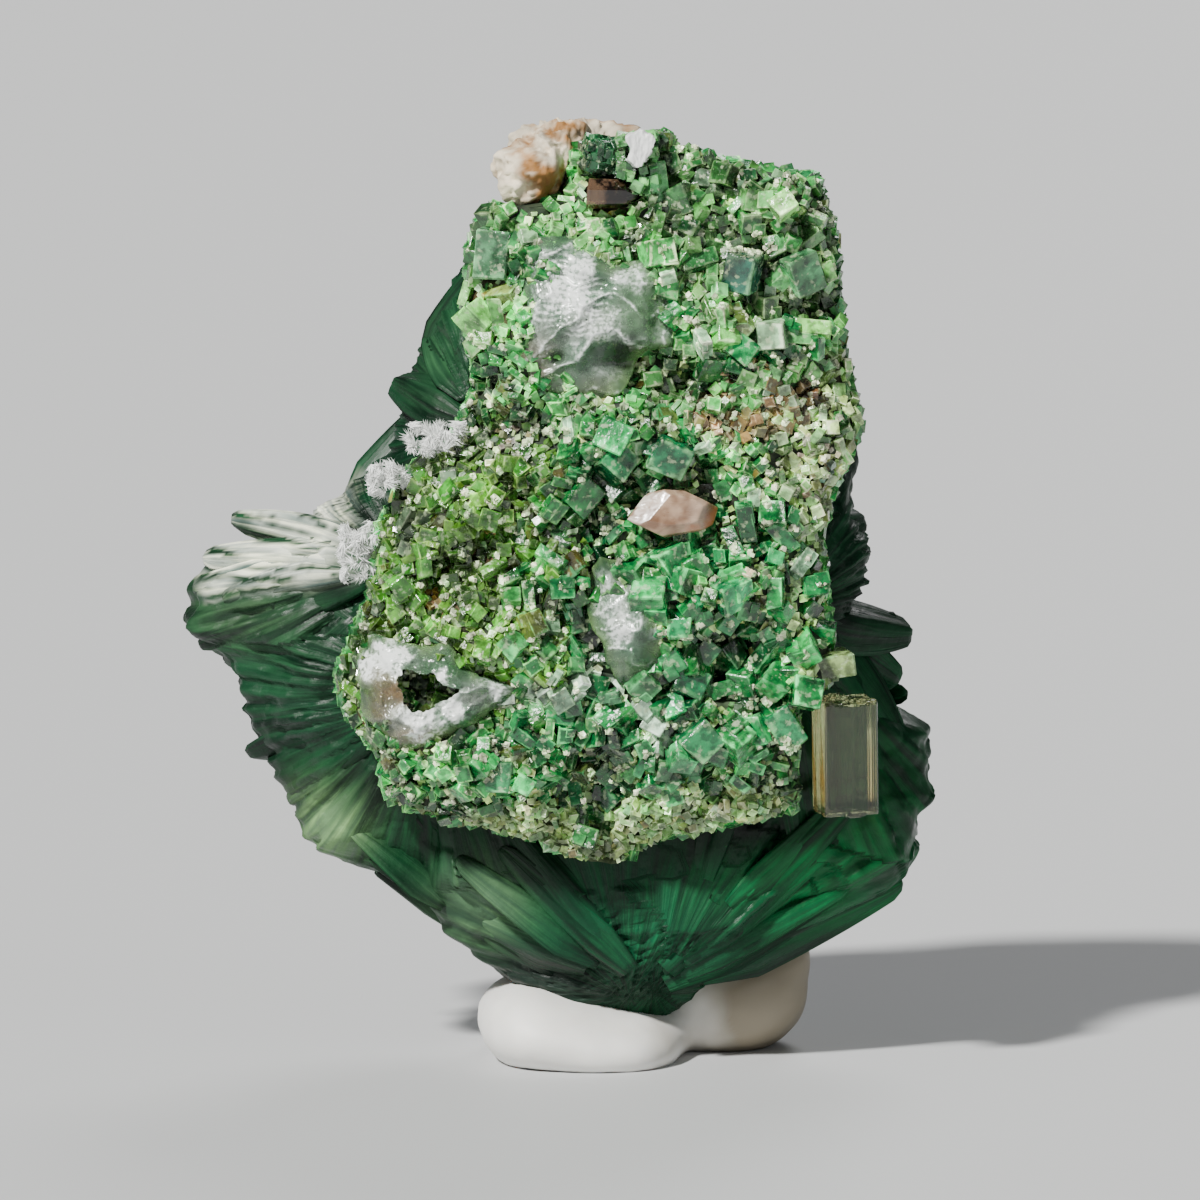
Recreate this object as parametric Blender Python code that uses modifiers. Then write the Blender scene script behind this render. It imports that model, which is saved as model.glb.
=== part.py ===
"""A torbernite specimen on a putty foot, in metres with +Z up.

The crusted slab faces -Y, +X is to its right, and the origin is on the putty's
underside, below the slab's middle.
"""
import math
import random

import bmesh
import bpy
import numpy as np
from mathutils import Euler, Matrix, Vector

# Driving dimensions
MM = 0.001
GAP = 0.3 * MM             # clearance kept between neighbouring pieces
SEAM_Y = -4.2 * MM         # plane where the slab's back meets the rock
SLAB_BACK = 0.1 * MM       # how far the slab's flat back lies behind that plane
ROCK_FACE_Y = -3.8 * MM    # flat face of the rock behind the slab
ROCK_FACE_FOOT = 8.0 * MM  # height above which the rock keeps to that face
MIDDLE_Y = 1.0 * MM        # depth at which the rock is widest
SLAB_SQUARENESS = 3.6      # how steeply the slab's rim drops
ROCK_SQUARENESS = 0.72     # corner shape of the rock's sections, 1 is an ellipse
WING_START = 9.0 * MM      # distance from the middle where the rock's wings start to thin
WING_LENGTH = 8.0 * MM
WING_THINNING = 0.45       # share of the depth lost at a wing's tip

# Ripples as (height, wavelength, seed)
SLAB_RIPPLE = (0.35 * MM, 5.0 * MM, 11)
ROCK_RIPPLE = (0.65 * MM, 4.6 * MM, 5)
RIPPLE_SPAN = (0.6, 1.6)   # shortest and longest wave as shares of the wavelength

# Outlines as (height, x) or (height, depth) in millimetres, bottom to top
SLAB_LEFT = [(8.8, -0.5), (9.8, -2.4), (10.4, -4.9), (11.3, -8.4), (13.4, -8.9), (15.0, -10.2),
             (16.5, -10.5), (19.5, -9.2), (22.5, -8.8), (24.6, -7.6), (26.4, -5.6), (28.3, -4.9),
             (31.3, -5.3), (34.1, -5.1), (35.3, -4.4), (35.7, -1.2), (37.6, -1.0), (38.0, 1.6)]
SLAB_RIGHT = [(8.8, 0.8), (9.7, 1.8), (10.6, 5.6), (11.0, 7.8), (15.8, 7.8), (16.4, 9.4),
              (19.7, 9.0), (22.1, 8.8), (24.1, 9.3), (26.5, 10.4), (29.7, 9.7), (34.3, 9.3),
              (36.4, 8.6), (37.0, 5.2), (38.0, 2.6)]
SLAB_DEPTH = [(8.8, 0.9), (10.6, 2.2), (14.0, 3.4), (20.0, 3.9), (27.0, 3.7), (33.0, 3.4),
              (35.3, 2.9), (38.0, 1.1)]
ROCK_LEFT = [(1.2, 0.0), (2.4, -3.2), (4.4, -5.4), (7.2, -7.6), (8.1, -10.4), (9.4, -12.3),
             (11.6, -13.2), (14.2, -14.0), (16.4, -15.6), (17.8, -17.2), (19.6, -16.6),
             (21.2, -14.6), (21.8, -12.0), (23.2, -10.2), (25.6, -8.4), (28.0, -7.0),
             (32.0, -6.0), (35.0, -3.4), (36.6, 1.0)]
ROCK_RIGHT = [(1.2, 1.8), (3.2, 4.2), (5.0, 7.6), (6.8, 10.8), (8.4, 12.8), (11.0, 13.6),
              (13.4, 13.0), (14.4, 11.6), (18.2, 10.0), (20.2, 10.8), (22.2, 10.4),
              (24.6, 10.2), (28.6, 9.8), (32.0, 9.2), (35.0, 8.4), (36.6, 6.4)]
ROCK_FRONT = [(1.2, -0.6), (3.4, -2.2), (6.0, -3.4), (9.0, -3.9), (33.0, -3.9), (36.6, -3.2)]
ROCK_BACK = [(1.2, 2.6), (4.0, 5.6), (8.0, 8.0), (14.0, 9.4), (20.0, 9.2), (26.0, 7.0),
             (31.0, 4.6), (34.6, 2.6), (36.6, -0.4)]

# Pits in the slab's face as (x, z, radius, depth) in millimetres
SLAB_PITS = [(0.9, 29.2, 1.3, 1.3), (-7.3, 16.5, 0.8, 1.2), (2.9, 23.3, 1.9, 0.9),
             (8.2, 32.6, 1.0, 1.2), (-4.4, 22.4, 0.8, 0.9), (-6.8, 19.4, 0.8, 0.8),
             (0.3, 36.0, 1.3, 1.6)]

# Outlines of the clear films as (x, z) in millimetres, going round
UPPER_FILM = [(-2.4, 35.0), (-0.8, 34.3), (0.4, 33.5), (2.0, 33.2), (3.0, 31.7), (2.9, 30.1),
              (1.7, 29.6), (1.0, 28.3), (0.0, 27.6), (-1.6, 27.8), (-3.2, 28.3), (-3.7, 29.8),
              (-3.5, 31.7), (-3.2, 33.5)]
MIDDLE_FILM = [(0.0, 21.5), (1.0, 21.1), (2.0, 19.7), (2.6, 18.1), (2.2, 16.5), (1.0, 16.1),
               (0.2, 17.3), (-0.4, 18.9), (-0.6, 20.5)]
LOWER_FILM = [(-9.0, 18.3), (-7.2, 17.9), (-6.0, 18.1), (-5.0, 16.9), (-3.4, 16.1), (-4.2, 15.1),
              (-6.0, 14.3), (-8.0, 13.9), (-9.3, 14.7), (-9.7, 15.8), (-9.6, 17.4)]
CLOSED_FILM = 0.06         # share of the radius where a film's middle is filled
OPEN_FILM = 0.24           # share of the radius taken by the lower film's hole
FILM_RINGS = 5
FILM_THICK = 0.35 * MM
FILM_CREASE = (0.12 * MM, 1.6 * MM)   # height and wavelength

# Sheaves of blades lying on the rock as (side, hub x, hub z, direction in degrees, spread,
# length, number) in millimetres: side -1 is the front, and the direction goes round from
# +X towards +Z
SHEAVES = [(-1, 1.2, 2.8, 35, 11, 12.6, 7), (-1, 2.2, 3.0, 138, 18, 10.0, 5),
           (-1, 6.0, 21.6, 350, 16, 5.6, 3), (-1, 7.2, 18.6, 328, 20, 6.0, 3),
           (-1, -7.8, 20.8, 189, 16, 9.2, 5), (-1, -6.8, 15.8, 216, 26, 8.0, 4),
           (-1, -4.6, 26.4, 142, 20, 4.4, 2), (1, 1.0, 4.2, 72, 46, 10.4, 5),
           (1, -3.4, 14.0, 154, 50, 10.0, 5), (1, 3.8, 13.4, 32, 48, 9.4, 5),
           (1, 0.6, 23.0, 95, 56, 9.6, 5)]
BLADE_SEED = 21
BLADE_STRAY = 4            # degrees that a blade leaves its even place in the fan
BLADE_ROOT = (0.12, 0.3)   # where blades start, as shares of the sheaf's length
BLADE_TIP = (0.8, 1.05)    # where they end
BLADE_LIFT = (-0.3, 0.35)  # millimetres that their ends stand off the rock
BLADE_WIDTH = (1.8, 2.6)
BLADE_THICKNESS = (1.0, 1.6)
BLADE_ROLL = (-0.7, 0.7)   # radians
CHISEL_SLANT = 0.1         # part of a blade's length cut off one corner of its tip
CHISEL_WIDTH = 0.5         # tip's share of the blade's width
CHISEL_THICKNESS = 0.4

# Single large crystals of the slab as (centre x, y, z, width, depth, height, turns in
# degrees about x, y and z), lengths in millimetres
LARGE_CRYSTALS = [
    (8.1, -7.2, 32.8, 2.0, 0.9, 2.4, 12, -24, 24),     # tilted square plate at the right
    (5.7, -7.7, 32.9, 1.7, 1.4, 2.4, 8, 14, -18),      # rounded upright one beside it
    (0.2, -5.9, 37.7, 2.0, 2.0, 1.5, 8, 6, 12),        # dark block on top
    (2.1, -6.2, 36.3, 1.0, 1.4, 1.9, 0, -6, 20),       # light prism beside the hollow
    (-4.2, -6.6, 33.5, 1.5, 1.5, 2.2, 0, 5, -12),      # pale upright one at the upper left
    (9.1, -5.8, 17.0, 2.2, 2.0, 1.0, 6, -6, 10),       # plate over the clear prism
    (2.8, -8.0, 25.6, 1.7, 1.5, 1.6, 20, 25, 10),
    (0.6, -8.0, 25.3, 1.4, 1.4, 1.4, -18, 40, 14),
    (4.0, -7.9, 14.2, 1.5, 1.4, 1.5, 10, 45, 20),
    (-4.2, -7.6, 12.7, 1.4, 1.3, 1.4, 0, 4, 0),
    (7.3, -7.0, 14.6, 1.2, 1.3, 2.0, 10, -35, 10),
]

# Strewn crystals
CRYSTAL_SEED = 8
CRYSTAL_NUMBER = 172       # large ones included
CRYSTAL_TRIES = 9000
CRYSTAL_FIELD = ((-10.4, 10.2), (9.2, 37.4))   # span in x and in z, in millimetres
CRYSTAL_SPACING = 0.56     # least distance as a share of two crystals' added sizes
CRYSTAL_RAISE = 0.2        # share of its size that a crystal stands out further
CRYSTAL_TILT = 0.5         # radians out of the slab's face
CRYSTAL_TURN = 1.5         # radians round its outward line
CRYSTAL_BARS = (1.0, 1.0, 1.0, 1.35)           # lengths to choose from, in widths
RIM_MARGIN = 0.7 * MM      # height over which the outline is tested round a crystal
LOWER_RIM = 12.5 * MM      # height of the fine-grained lower rim
RIM_SIZES = (0.8, 1.1)     # millimetres
LEFT_SIZES = (0.85, 1.15)
TOP_SIZES = (1.3, 1.9)
OTHER_SIZES = (1.1, 1.6)

# Oval places that stay free of crystals, as (x, z, half width, half height) in millimetres
BARE_OVALS = [(2.9, 23.3, 1.9, 1.2), (0.5, 36.3, 1.6, 1.2), (-2.9, 35.8, 1.8, 1.0),
              (-6.4, 25.9, 1.6, 1.2), (-8.3, 24.6, 1.2, 1.4), (-9.4, 22.2, 1.3, 2.2),
              (1.5, 37.8, 0.6, 1.2)]

# Lumps as (centre, radii) in millimetres
CAP_FRONT = ((-2.9, -5.0, 36.7), (1.5, 1.9, 1.6))
CAP_BEHIND = ((-0.4, -2.7, 36.9), (3.2, 1.3, 2.0))
CAP_ROUGHNESS = 0.14
TUFTS = [("upper_tuft", (-6.5, -6.6, 26.1), (1.5, 0.8, 0.8)),
         ("middle_tuft", (-8.5, -6.1, 24.4), (0.9, 0.8, 0.9)),
         ("lower_tuft", (-9.6, -5.7, 21.6), (1.0, 0.8, 1.6))]
TUFT_ROUGHNESS = 0.3
PUTTY_FRONT = ((-0.6, 0.9, 1.3), (4.5, 5.4, 2.7))
PUTTY_BEHIND = ((5.4, 3.4, 2.4), (3.7, 3.9, 4.0))
PUTTY_ROUGHNESS = 0.07
LUMP_WAVELENGTH = 1.3      # in radii of the lump
GROUND_BLOCK = 40 * MM     # side of the block that cuts the putty flat

# Cut stones as (centre, radii, turns in degrees), lengths in millimetres
SMOKY_QUARTZ = ((0.4, -7.1, 35.9), (0.55, 0.6, 0.8), (0, 66, 10))
PINK_QUARTZ = ((2.9, -8.45, 23.3), (0.9, 0.7, 1.5), (0, 78, 0))
QUARTZ_SIDES = 6
QUARTZ_END = 0.55          # width of its far end as a share

# Edged blocks as (centre, size, turns in degrees, width of the cut edges), in millimetres
FLAKE = ((1.55, -7.5, 37.7), (0.9, 0.4, 2.0), (-8, 14, 18), 0.14)
PRISM = ((9.85, -5.95, 13.3), (2.3, 2.1, 4.6), (4, -2, 14), 0.16)

COLORS = {
    "dark_green": ((0.012, 0.085, 0.04, 1.0), 0.45),
    "crystal_green": ((0.06, 0.34, 0.13, 1.0), 0.3),
    "cream_stone": ((0.62, 0.5, 0.34, 1.0), 0.8),
    "smoky_brown": ((0.12, 0.07, 0.04, 1.0), 0.15),
    "white_flake": ((0.85, 0.86, 0.84, 1.0), 0.5),
    "pink_quartz": ((0.62, 0.42, 0.32, 1.0), 0.25),
    "clear_yellow": ((0.5, 0.46, 0.2, 0.5), 0.1),
    "clear_film": ((0.7, 0.76, 0.7, 0.4), 0.2),
    "white_fibre": ((0.9, 0.91, 0.9, 1.0), 0.8),
    "white_putty": ((0.78, 0.76, 0.72, 1.0), 0.55),
}


def clear_scene():
    """Remove everything that is in the file."""
    for thing in list(bpy.data.objects):
        bpy.data.objects.remove(thing, do_unlink=True)


def make_collection(name):
    """Add a collection to the scene."""
    group = bpy.data.collections.new(name)
    bpy.context.scene.collection.children.link(group)
    return group


def make_material(name):
    """Plain Principled material in one of the piece colours."""
    color, roughness = COLORS[name]
    material = bpy.data.materials.new(name)
    material.use_nodes = True
    shader = material.node_tree.nodes["Principled BSDF"]
    shader.inputs["Base Color"].default_value = color
    shader.inputs["Roughness"].default_value = roughness
    shader.inputs["Alpha"].default_value = color[3]
    return material


def add_object(name, bm, group, color=None):
    """Turn a bmesh into an object in a collection, hidden if it has no colour."""
    bmesh.ops.recalc_face_normals(bm, faces=bm.faces)
    mesh = bpy.data.meshes.new(name)
    bm.to_mesh(mesh)
    bm.free()
    thing = bpy.data.objects.new(name, mesh)
    group.objects.link(thing)
    if color:
        mesh.materials.append(make_material(color))
    else:
        thing.hide_render = True
        thing.display_type = "WIRE"
    return thing


def add_boolean(target, cutter, operation, own_overlaps=False):
    """Join or cut a piece with another mesh."""
    cut = target.modifiers.new(f"{operation.lower()}_{cutter.name}", "BOOLEAN")
    cut.operation = operation
    cut.solver = "EXACT"
    cut.use_self = own_overlaps
    cut.object = cutter


def turned(degrees):
    """Turn about x, y and z given in degrees."""
    return Euler([math.radians(angle) for angle in degrees])


def outline(points, z):
    """Value of a (height, value) outline at height z."""
    heights = [MM * point[0] for point in points]
    values = [MM * point[1] for point in points]
    return np.interp(z, heights, values)


def ripples(x, y, z, wavelength, seed):
    """Sum of eight sine waves in seeded directions, between about -1 and 1."""
    pick = random.Random(seed)
    total = 0.0
    for _ in range(8):
        way = Vector([pick.gauss(0, 1) for _ in range(3)]).normalized()
        number = math.tau / (wavelength * pick.uniform(*RIPPLE_SPAN))
        total = total + np.sin(number * (way.x * x + way.y * y + way.z * z)
                               + pick.uniform(0, math.tau))
    return total / 4.0


def slab_front(x, z, pits=SLAB_PITS):
    """Depth of the slab's bare face at (x, z): a crown with a steep rim, ripples and pits."""
    left, right = outline(SLAB_LEFT, z), outline(SLAB_RIGHT, z)
    across = np.clip(np.abs((x - (left + right) / 2) / ((right - left) / 2)), 0.0, 1.0)
    crown = (1.0 - across ** SLAB_SQUARENESS) ** (1.0 / SLAB_SQUARENESS)
    height, wavelength, seed = SLAB_RIPPLE
    relief = height * ripples(x, 0.0, z, wavelength, seed)
    for pit_x, pit_z, radius, depth in pits:
        away = ((x - pit_x * MM) ** 2 + (z - pit_z * MM) ** 2) / (radius * MM) ** 2
        relief = relief - depth * MM * np.exp(-away * away)
    return SEAM_Y - (outline(SLAB_DEPTH, z) + relief) * crown


def slab_normal(x, z):
    """Outward direction of the slab's bare face at (x, z)."""
    step = 0.4 * MM
    slope_x = (slab_front(x + step, z) - slab_front(x - step, z)) / (2 * step)
    slope_z = (slab_front(x, z + step) - slab_front(x, z - step)) / (2 * step)
    return Vector((slope_x, -1.0, slope_z)).normalized()


def wing_share(x):
    """Share of the rock's depth that is left at x, less towards the wings' tips."""
    return 1.0 - WING_THINNING * np.clip((np.abs(x) - WING_START) / WING_LENGTH, 0.0, 1.0)


def join_rings(rings, closed_start, closed_end):
    """Skin a list of closed rings of points, with each end filled or left open."""
    bm = bmesh.new()
    loops = [[bm.verts.new(point) for point in ring] for ring in rings]
    for low, high in zip(loops, loops[1:]):
        for i, corner in enumerate(low):
            j = (i + 1) % len(low)
            bm.faces.new((corner, low[j], high[j], high[i]))
    if closed_start:
        bm.faces.new(loops[0])
    if closed_end:
        bm.faces.new(loops[-1])
    return bm


def slab_mesh(grow=0.0, front_points=14, back_points=4, levels=21):
    """The slab without its crystals: level sections with a crowned front and a flat back."""
    rings = []
    for share in np.linspace(0.0, 1.0, levels):
        z = SLAB_LEFT[0][0] * MM * (1 - share) + SLAB_LEFT[-1][0] * MM * share
        left, right = outline(SLAB_LEFT, z), outline(SLAB_RIGHT, z)
        turn = -np.cos(np.linspace(0, math.pi, front_points))
        x = (left + right) / 2 + (right - left) / 2 * turn
        height = z + grow * (2 * share - 1)
        ring = [(a, b, height) for a, b in zip(x + grow * turn, slab_front(x, z) - grow)]
        for a in np.linspace(right + grow, left - grow, back_points):
            ring.append((a, SEAM_Y + max(grow, SLAB_BACK), height))
        rings.append(ring)
    return join_rings(rings, True, True)


def rock_section(theta, z, grow):
    """Points of the rock's level section at the turns theta round it."""
    left, right = outline(ROCK_LEFT, z), outline(ROCK_RIGHT, z)
    front, back = outline(ROCK_FRONT, z), outline(ROCK_BACK, z)
    cosine, sine = np.cos(theta), np.sin(theta)
    x = (left + right) / 2 + (right - left) / 2 * np.sign(cosine) * np.abs(cosine) ** ROCK_SQUARENESS
    reach = np.where(sine < 0, front - MIDDLE_Y, back - MIDDLE_Y)
    y = MIDDLE_Y + reach * wing_share(x) * np.abs(sine) ** ROCK_SQUARENESS
    height, wavelength, seed = ROCK_RIPPLE
    bump = height * ripples(x, y, z, wavelength, seed)
    y = np.maximum(y + bump * sine, ROCK_FACE_Y)
    return x + (bump + grow) * cosine, y + grow * np.sign(sine)


def rock_mesh(grow=0.0, points=30, levels=21):
    """The rock without its blades: level sections stacked from the tip to the top."""
    rings = []
    for share in np.linspace(0.0, 1.0, levels):
        z = ROCK_LEFT[0][0] * MM * (1 - share) + ROCK_LEFT[-1][0] * MM * share
        x, y = rock_section(np.linspace(0, math.tau, points, endpoint=False), z, grow)
        height = z + grow * (2 * share - 1)
        rings.append([(a, b, height) for a, b in zip(x, y)])
    return join_rings(rings, True, True)


def rock_depth(side, x, z):
    """Depth of the rock's smooth face at (x, z), on the front (-1) or the back (1)."""
    left, right = outline(ROCK_LEFT, z), outline(ROCK_RIGHT, z)
    cosine = min(abs(x - (left + right) / 2) / ((right - left) / 2), 1.0) ** (1 / ROCK_SQUARENESS)
    sine = math.sqrt(1.0 - cosine ** 2) ** ROCK_SQUARENESS
    reach = outline(ROCK_FRONT if side < 0 else ROCK_BACK, z) - MIDDLE_Y
    return MIDDLE_Y + reach * wing_share(x) * sine


def add_blade(bm, start, end, side, width, thickness, roll, grow):
    """A long flat prism on its edge that narrows to a chisel tip."""
    way = end - start
    length = way.length + 2 * grow
    way.normalize()
    across = way.cross(Vector((0, side, 0))).normalized()
    turn = Matrix((across.cross(way), across, way)).transposed().to_4x4()
    size = Matrix.Diagonal((width + 2 * grow, thickness + 2 * grow, length, 1.0))
    corners = bmesh.ops.create_cube(bm, size=1.0, matrix=size)["verts"]
    for corner in corners:
        if corner.co.z > 0:
            corner.co.z -= CHISEL_SLANT * length * (corner.co.x > 0)
            corner.co.x *= CHISEL_WIDTH
            corner.co.y *= CHISEL_THICKNESS
    place = (Matrix.Translation(start + way * (0.5 * length - grow)) @ turn
             @ Matrix.Rotation(roll, 4, "Z"))
    bmesh.ops.transform(bm, verts=corners, matrix=place)


def blades_mesh(grow=0.0):
    """All blades of the rock, fanned out of their hubs along its faces."""
    pick = random.Random(BLADE_SEED)
    bm = bmesh.new()
    for side, hub_x, hub_z, direction, spread, length, number in SHEAVES:
        for i in range(number):
            even = direction + spread * (2 * i / (number - 1) - 1)
            angle = math.radians(even + pick.uniform(-BLADE_STRAY, BLADE_STRAY))
            ends = []
            for reach in (length * pick.uniform(*BLADE_ROOT), length * pick.uniform(*BLADE_TIP)):
                x = (hub_x + reach * math.cos(angle)) * MM
                z = (hub_z + reach * math.sin(angle)) * MM
                y = rock_depth(side, x, z) + side * pick.uniform(*BLADE_LIFT) * MM
                if z > ROCK_FACE_FOOT:
                    y = max(y, ROCK_FACE_Y)
                ends.append(Vector((x, y, z)))
            width = pick.uniform(*BLADE_WIDTH) * MM
            thickness = pick.uniform(*BLADE_THICKNESS) * MM
            add_blade(bm, *ends, side, width, thickness, pick.uniform(*BLADE_ROLL), grow)
    return bm


def inside(points, x, z, margin):
    """Whether (x, z) lies within a margin of a closed outline given in millimetres."""
    x, z, margin = x / MM, z / MM, margin / MM
    centre_x = sum(point[0] for point in points) / len(points)
    centre_z = sum(point[1] for point in points) / len(points)
    hit = False
    for (ax, az), (bx, bz) in zip(points, points[1:] + points[:1]):
        ax, bx = [value + math.copysign(margin, value - centre_x) for value in (ax, bx)]
        az, bz = [value + math.copysign(margin, value - centre_z) for value in (az, bz)]
        if (az > z) != (bz > z) and x < ax + (z - az) * (bx - ax) / (bz - az):
            hit = not hit
    return hit


def is_bare(x, z, margin):
    """Whether a film, a tuft or a quartz grain keeps this place free."""
    for film in (UPPER_FILM, MIDDLE_FILM, LOWER_FILM):
        if inside(film, x, z, 1.1 * margin):
            return True
    for oval_x, oval_z, half_x, half_z in BARE_OVALS:
        across = (x - oval_x * MM) / (half_x * MM + margin)
        along = (z - oval_z * MM) / (half_z * MM + margin)
        if across ** 2 + along ** 2 < 1.0:
            return True
    return False


def crystal_size(x, z, pick):
    """Edge length by place: fine at the left and the lower rim, large at the right and top."""
    sizes = OTHER_SIZES
    if z < LOWER_RIM:
        sizes = RIM_SIZES
    elif x < -1.5 * MM and z < 27.0 * MM:
        sizes = LEFT_SIZES
    elif x > 3.0 * MM and z > 30.0 * MM:
        sizes = TOP_SIZES
    return pick.uniform(*sizes) * MM


def has_room(x, z, size, placed):
    """Whether a crystal at (x, z) stays on the slab and clear of the others."""
    left = max(outline(SLAB_LEFT, z - RIM_MARGIN), outline(SLAB_LEFT, z + RIM_MARGIN))
    right = min(outline(SLAB_RIGHT, z - RIM_MARGIN), outline(SLAB_RIGHT, z + RIM_MARGIN))
    if not left + 0.2 * size < x < right - 0.2 * size or is_bare(x, z, size):
        return False
    if slab_front(x, z) > SEAM_Y - 0.9 * size:
        return False
    return all((x - a) ** 2 + (z - b) ** 2 >= (CRYSTAL_SPACING * (size + c)) ** 2
               for a, b, c in placed)


def add_block(bm, centre, size, turn):
    """A box of three edge lengths, turned about its centre, in metres."""
    place = Matrix.Translation(centre) @ turn.to_matrix().to_4x4() @ Matrix.Diagonal((*size, 1.0))
    bmesh.ops.create_cube(bm, size=1.0, matrix=place)


def crystals_mesh():
    """The large crystals, and small ones strewn between them about their own size apart."""
    pick = random.Random(CRYSTAL_SEED)
    bm = bmesh.new()
    placed = []
    for x, y, z, width, depth, height, *degrees in LARGE_CRYSTALS:
        size = (width * MM, depth * MM, height * MM)
        add_block(bm, Vector((x, y, z)) * MM, size, turned(degrees))
        placed.append((x * MM, z * MM, max(width, height) * MM))
    for _ in range(CRYSTAL_TRIES):
        if len(placed) == CRYSTAL_NUMBER:
            break
        span_x, span_z = CRYSTAL_FIELD
        z = pick.uniform(*span_z) * MM
        x = pick.uniform(*span_x) * MM
        size = crystal_size(x, z, pick)
        if not has_room(x, z, size, placed):
            continue
        placed.append((x, z, size))
        facing = slab_normal(x, z).to_track_quat("Y", "Z")
        tilts = (pick.uniform(-CRYSTAL_TILT, CRYSTAL_TILT), pick.uniform(0, CRYSTAL_TURN),
                 pick.uniform(-CRYSTAL_TILT, CRYSTAL_TILT))
        centre = Vector((x, slab_front(x, z), z)) + slab_normal(x, z) * CRYSTAL_RAISE * size
        centre.y = min(centre.y, SEAM_Y - 0.75 * size)
        bar = pick.choice(CRYSTAL_BARS)
        add_block(bm, centre, (size, 0.9 * size, size * bar), facing @ Euler(tilts).to_quaternion())
    return bm


def build_matrix(parts, cutters, slab_room):
    """The dark bladed rock: the body with its blades joined on, cut back behind the slab."""
    rock = add_object("bladed_matrix", rock_mesh(), parts, "dark_green")
    blades = add_object("rock_blades", blades_mesh(), cutters)
    add_boolean(rock, blades, "UNION", own_overlaps=True)
    add_boolean(rock, slab_room, "DIFFERENCE")


def build_crust(parts, cutters):
    """The slab with its crystals joined on."""
    crust = add_object("crystal_crust", slab_mesh(), parts, "crystal_green")
    crystals = add_object("crystals", crystals_mesh(), cutters)
    add_boolean(crust, crystals, "UNION", own_overlaps=True)


def film_mesh(points, hole, seed):
    """Rings of a film's outline drawn in towards its middle, laid over the slab."""
    points = [Vector((x * MM, z * MM)) for x, z in points]
    centre = sum(points, Vector((0, 0))) / len(points)
    height, wavelength = FILM_CREASE
    rings = []
    for share in np.linspace(1.0, hole, FILM_RINGS):
        ring = []
        for point in points:
            x, z = centre + (point - centre) * share
            crease = height * ripples(x, 0.0, z, wavelength, seed)
            ring.append((x, slab_front(x, z, pits=()) - GAP - FILM_THICK - crease, z))
        rings.append(ring)
    return join_rings(rings, False, hole == CLOSED_FILM)


def build_film(name, points, seed, parts, hole=CLOSED_FILM):
    """A thin clear film over the crystals, solid by its thickness."""
    film = add_object(name, film_mesh(points, hole, seed), parts, "clear_film")
    for face in film.data.polygons:
        if face.normal.y > 0:
            face.flip()
    shell = film.modifiers.new("thickness", "SOLIDIFY")
    shell.thickness = FILM_THICK
    shell.offset = 1.0


def lump_mesh(lump, roughness, seed, detail=2):
    """A ball pushed in and out by ripples, for stone, fibres and putty."""
    centre, radii = lump
    bm = bmesh.new()
    bmesh.ops.create_icosphere(bm, subdivisions=detail, radius=1.0)
    for vert in bm.verts:
        ball = vert.co.copy()
        swell = 1.0 + roughness * float(ripples(ball.x, ball.y, ball.z, LUMP_WAVELENGTH, seed))
        vert.co = Vector([MM * (c + r * swell * b) for c, r, b in zip(centre, radii, ball)])
    return bm


def build_cap(parts, cutters, slab_room, rock_room):
    """The cream stone on the rim: a front lump joined to the one behind."""
    cap = add_object("stone_cap", lump_mesh(CAP_FRONT, CAP_ROUGHNESS, 31), parts, "cream_stone")
    behind = add_object("cap_behind", lump_mesh(CAP_BEHIND, CAP_ROUGHNESS, 32), cutters)
    add_boolean(cap, behind, "UNION")
    add_boolean(cap, slab_room, "DIFFERENCE")
    add_boolean(cap, rock_room, "DIFFERENCE")


def build_quartz(name, shape, color, parts):
    """A six-sided crystal that narrows to a blunt end."""
    centre, radii, degrees = shape
    bm = bmesh.new()
    bmesh.ops.create_cone(bm, cap_ends=True, segments=QUARTZ_SIDES, radius1=1.0, radius2=QUARTZ_END,
                          depth=2.0)
    stretch = Matrix.Diagonal([MM * radius for radius in radii] + [1.0])
    place = Matrix.Translation(Vector(centre) * MM) @ turned(degrees).to_matrix().to_4x4() @ stretch
    bmesh.ops.transform(bm, verts=bm.verts, matrix=place)
    add_object(name, bm, parts, color)


def build_edged_block(name, block, color, parts):
    """A turned block with its edges cut off: the white flake and the clear prism."""
    centre, size, degrees, cut = block
    bm = bmesh.new()
    add_block(bm, Vector(centre) * MM, Vector(size) * MM, turned(degrees))
    piece = add_object(name, bm, parts, color)
    edge = piece.modifiers.new("cut_edges", "BEVEL")
    edge.width = cut * MM
    edge.segments = 1


def build_tufts(parts, slab_room, rock_room):
    """Three spiky lumps on the left edge."""
    for seed, (name, *lump) in enumerate(TUFTS, start=41):
        tuft = add_object(name, lump_mesh(lump, TUFT_ROUGHNESS, seed), parts, "white_fibre")
        add_boolean(tuft, slab_room, "DIFFERENCE")
        add_boolean(tuft, rock_room, "DIFFERENCE")


def build_putty(parts, cutters, rock_room):
    """The putty foot: two squeezed lobes, flat below, with the rock's tip pressed in."""
    foot = add_object("putty_foot", lump_mesh(PUTTY_FRONT, PUTTY_ROUGHNESS, 51, 3), parts,
                      "white_putty")
    lobe = add_object("putty_lobe", lump_mesh(PUTTY_BEHIND, PUTTY_ROUGHNESS, 52), cutters)
    add_boolean(foot, lobe, "UNION")
    bm = bmesh.new()
    bmesh.ops.create_cube(bm, size=GROUND_BLOCK, matrix=Matrix.Translation((0, 0, -GROUND_BLOCK / 2)))
    below = add_object("below_ground", bm, cutters)
    add_boolean(foot, below, "DIFFERENCE")
    add_boolean(foot, rock_room, "DIFFERENCE")


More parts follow.
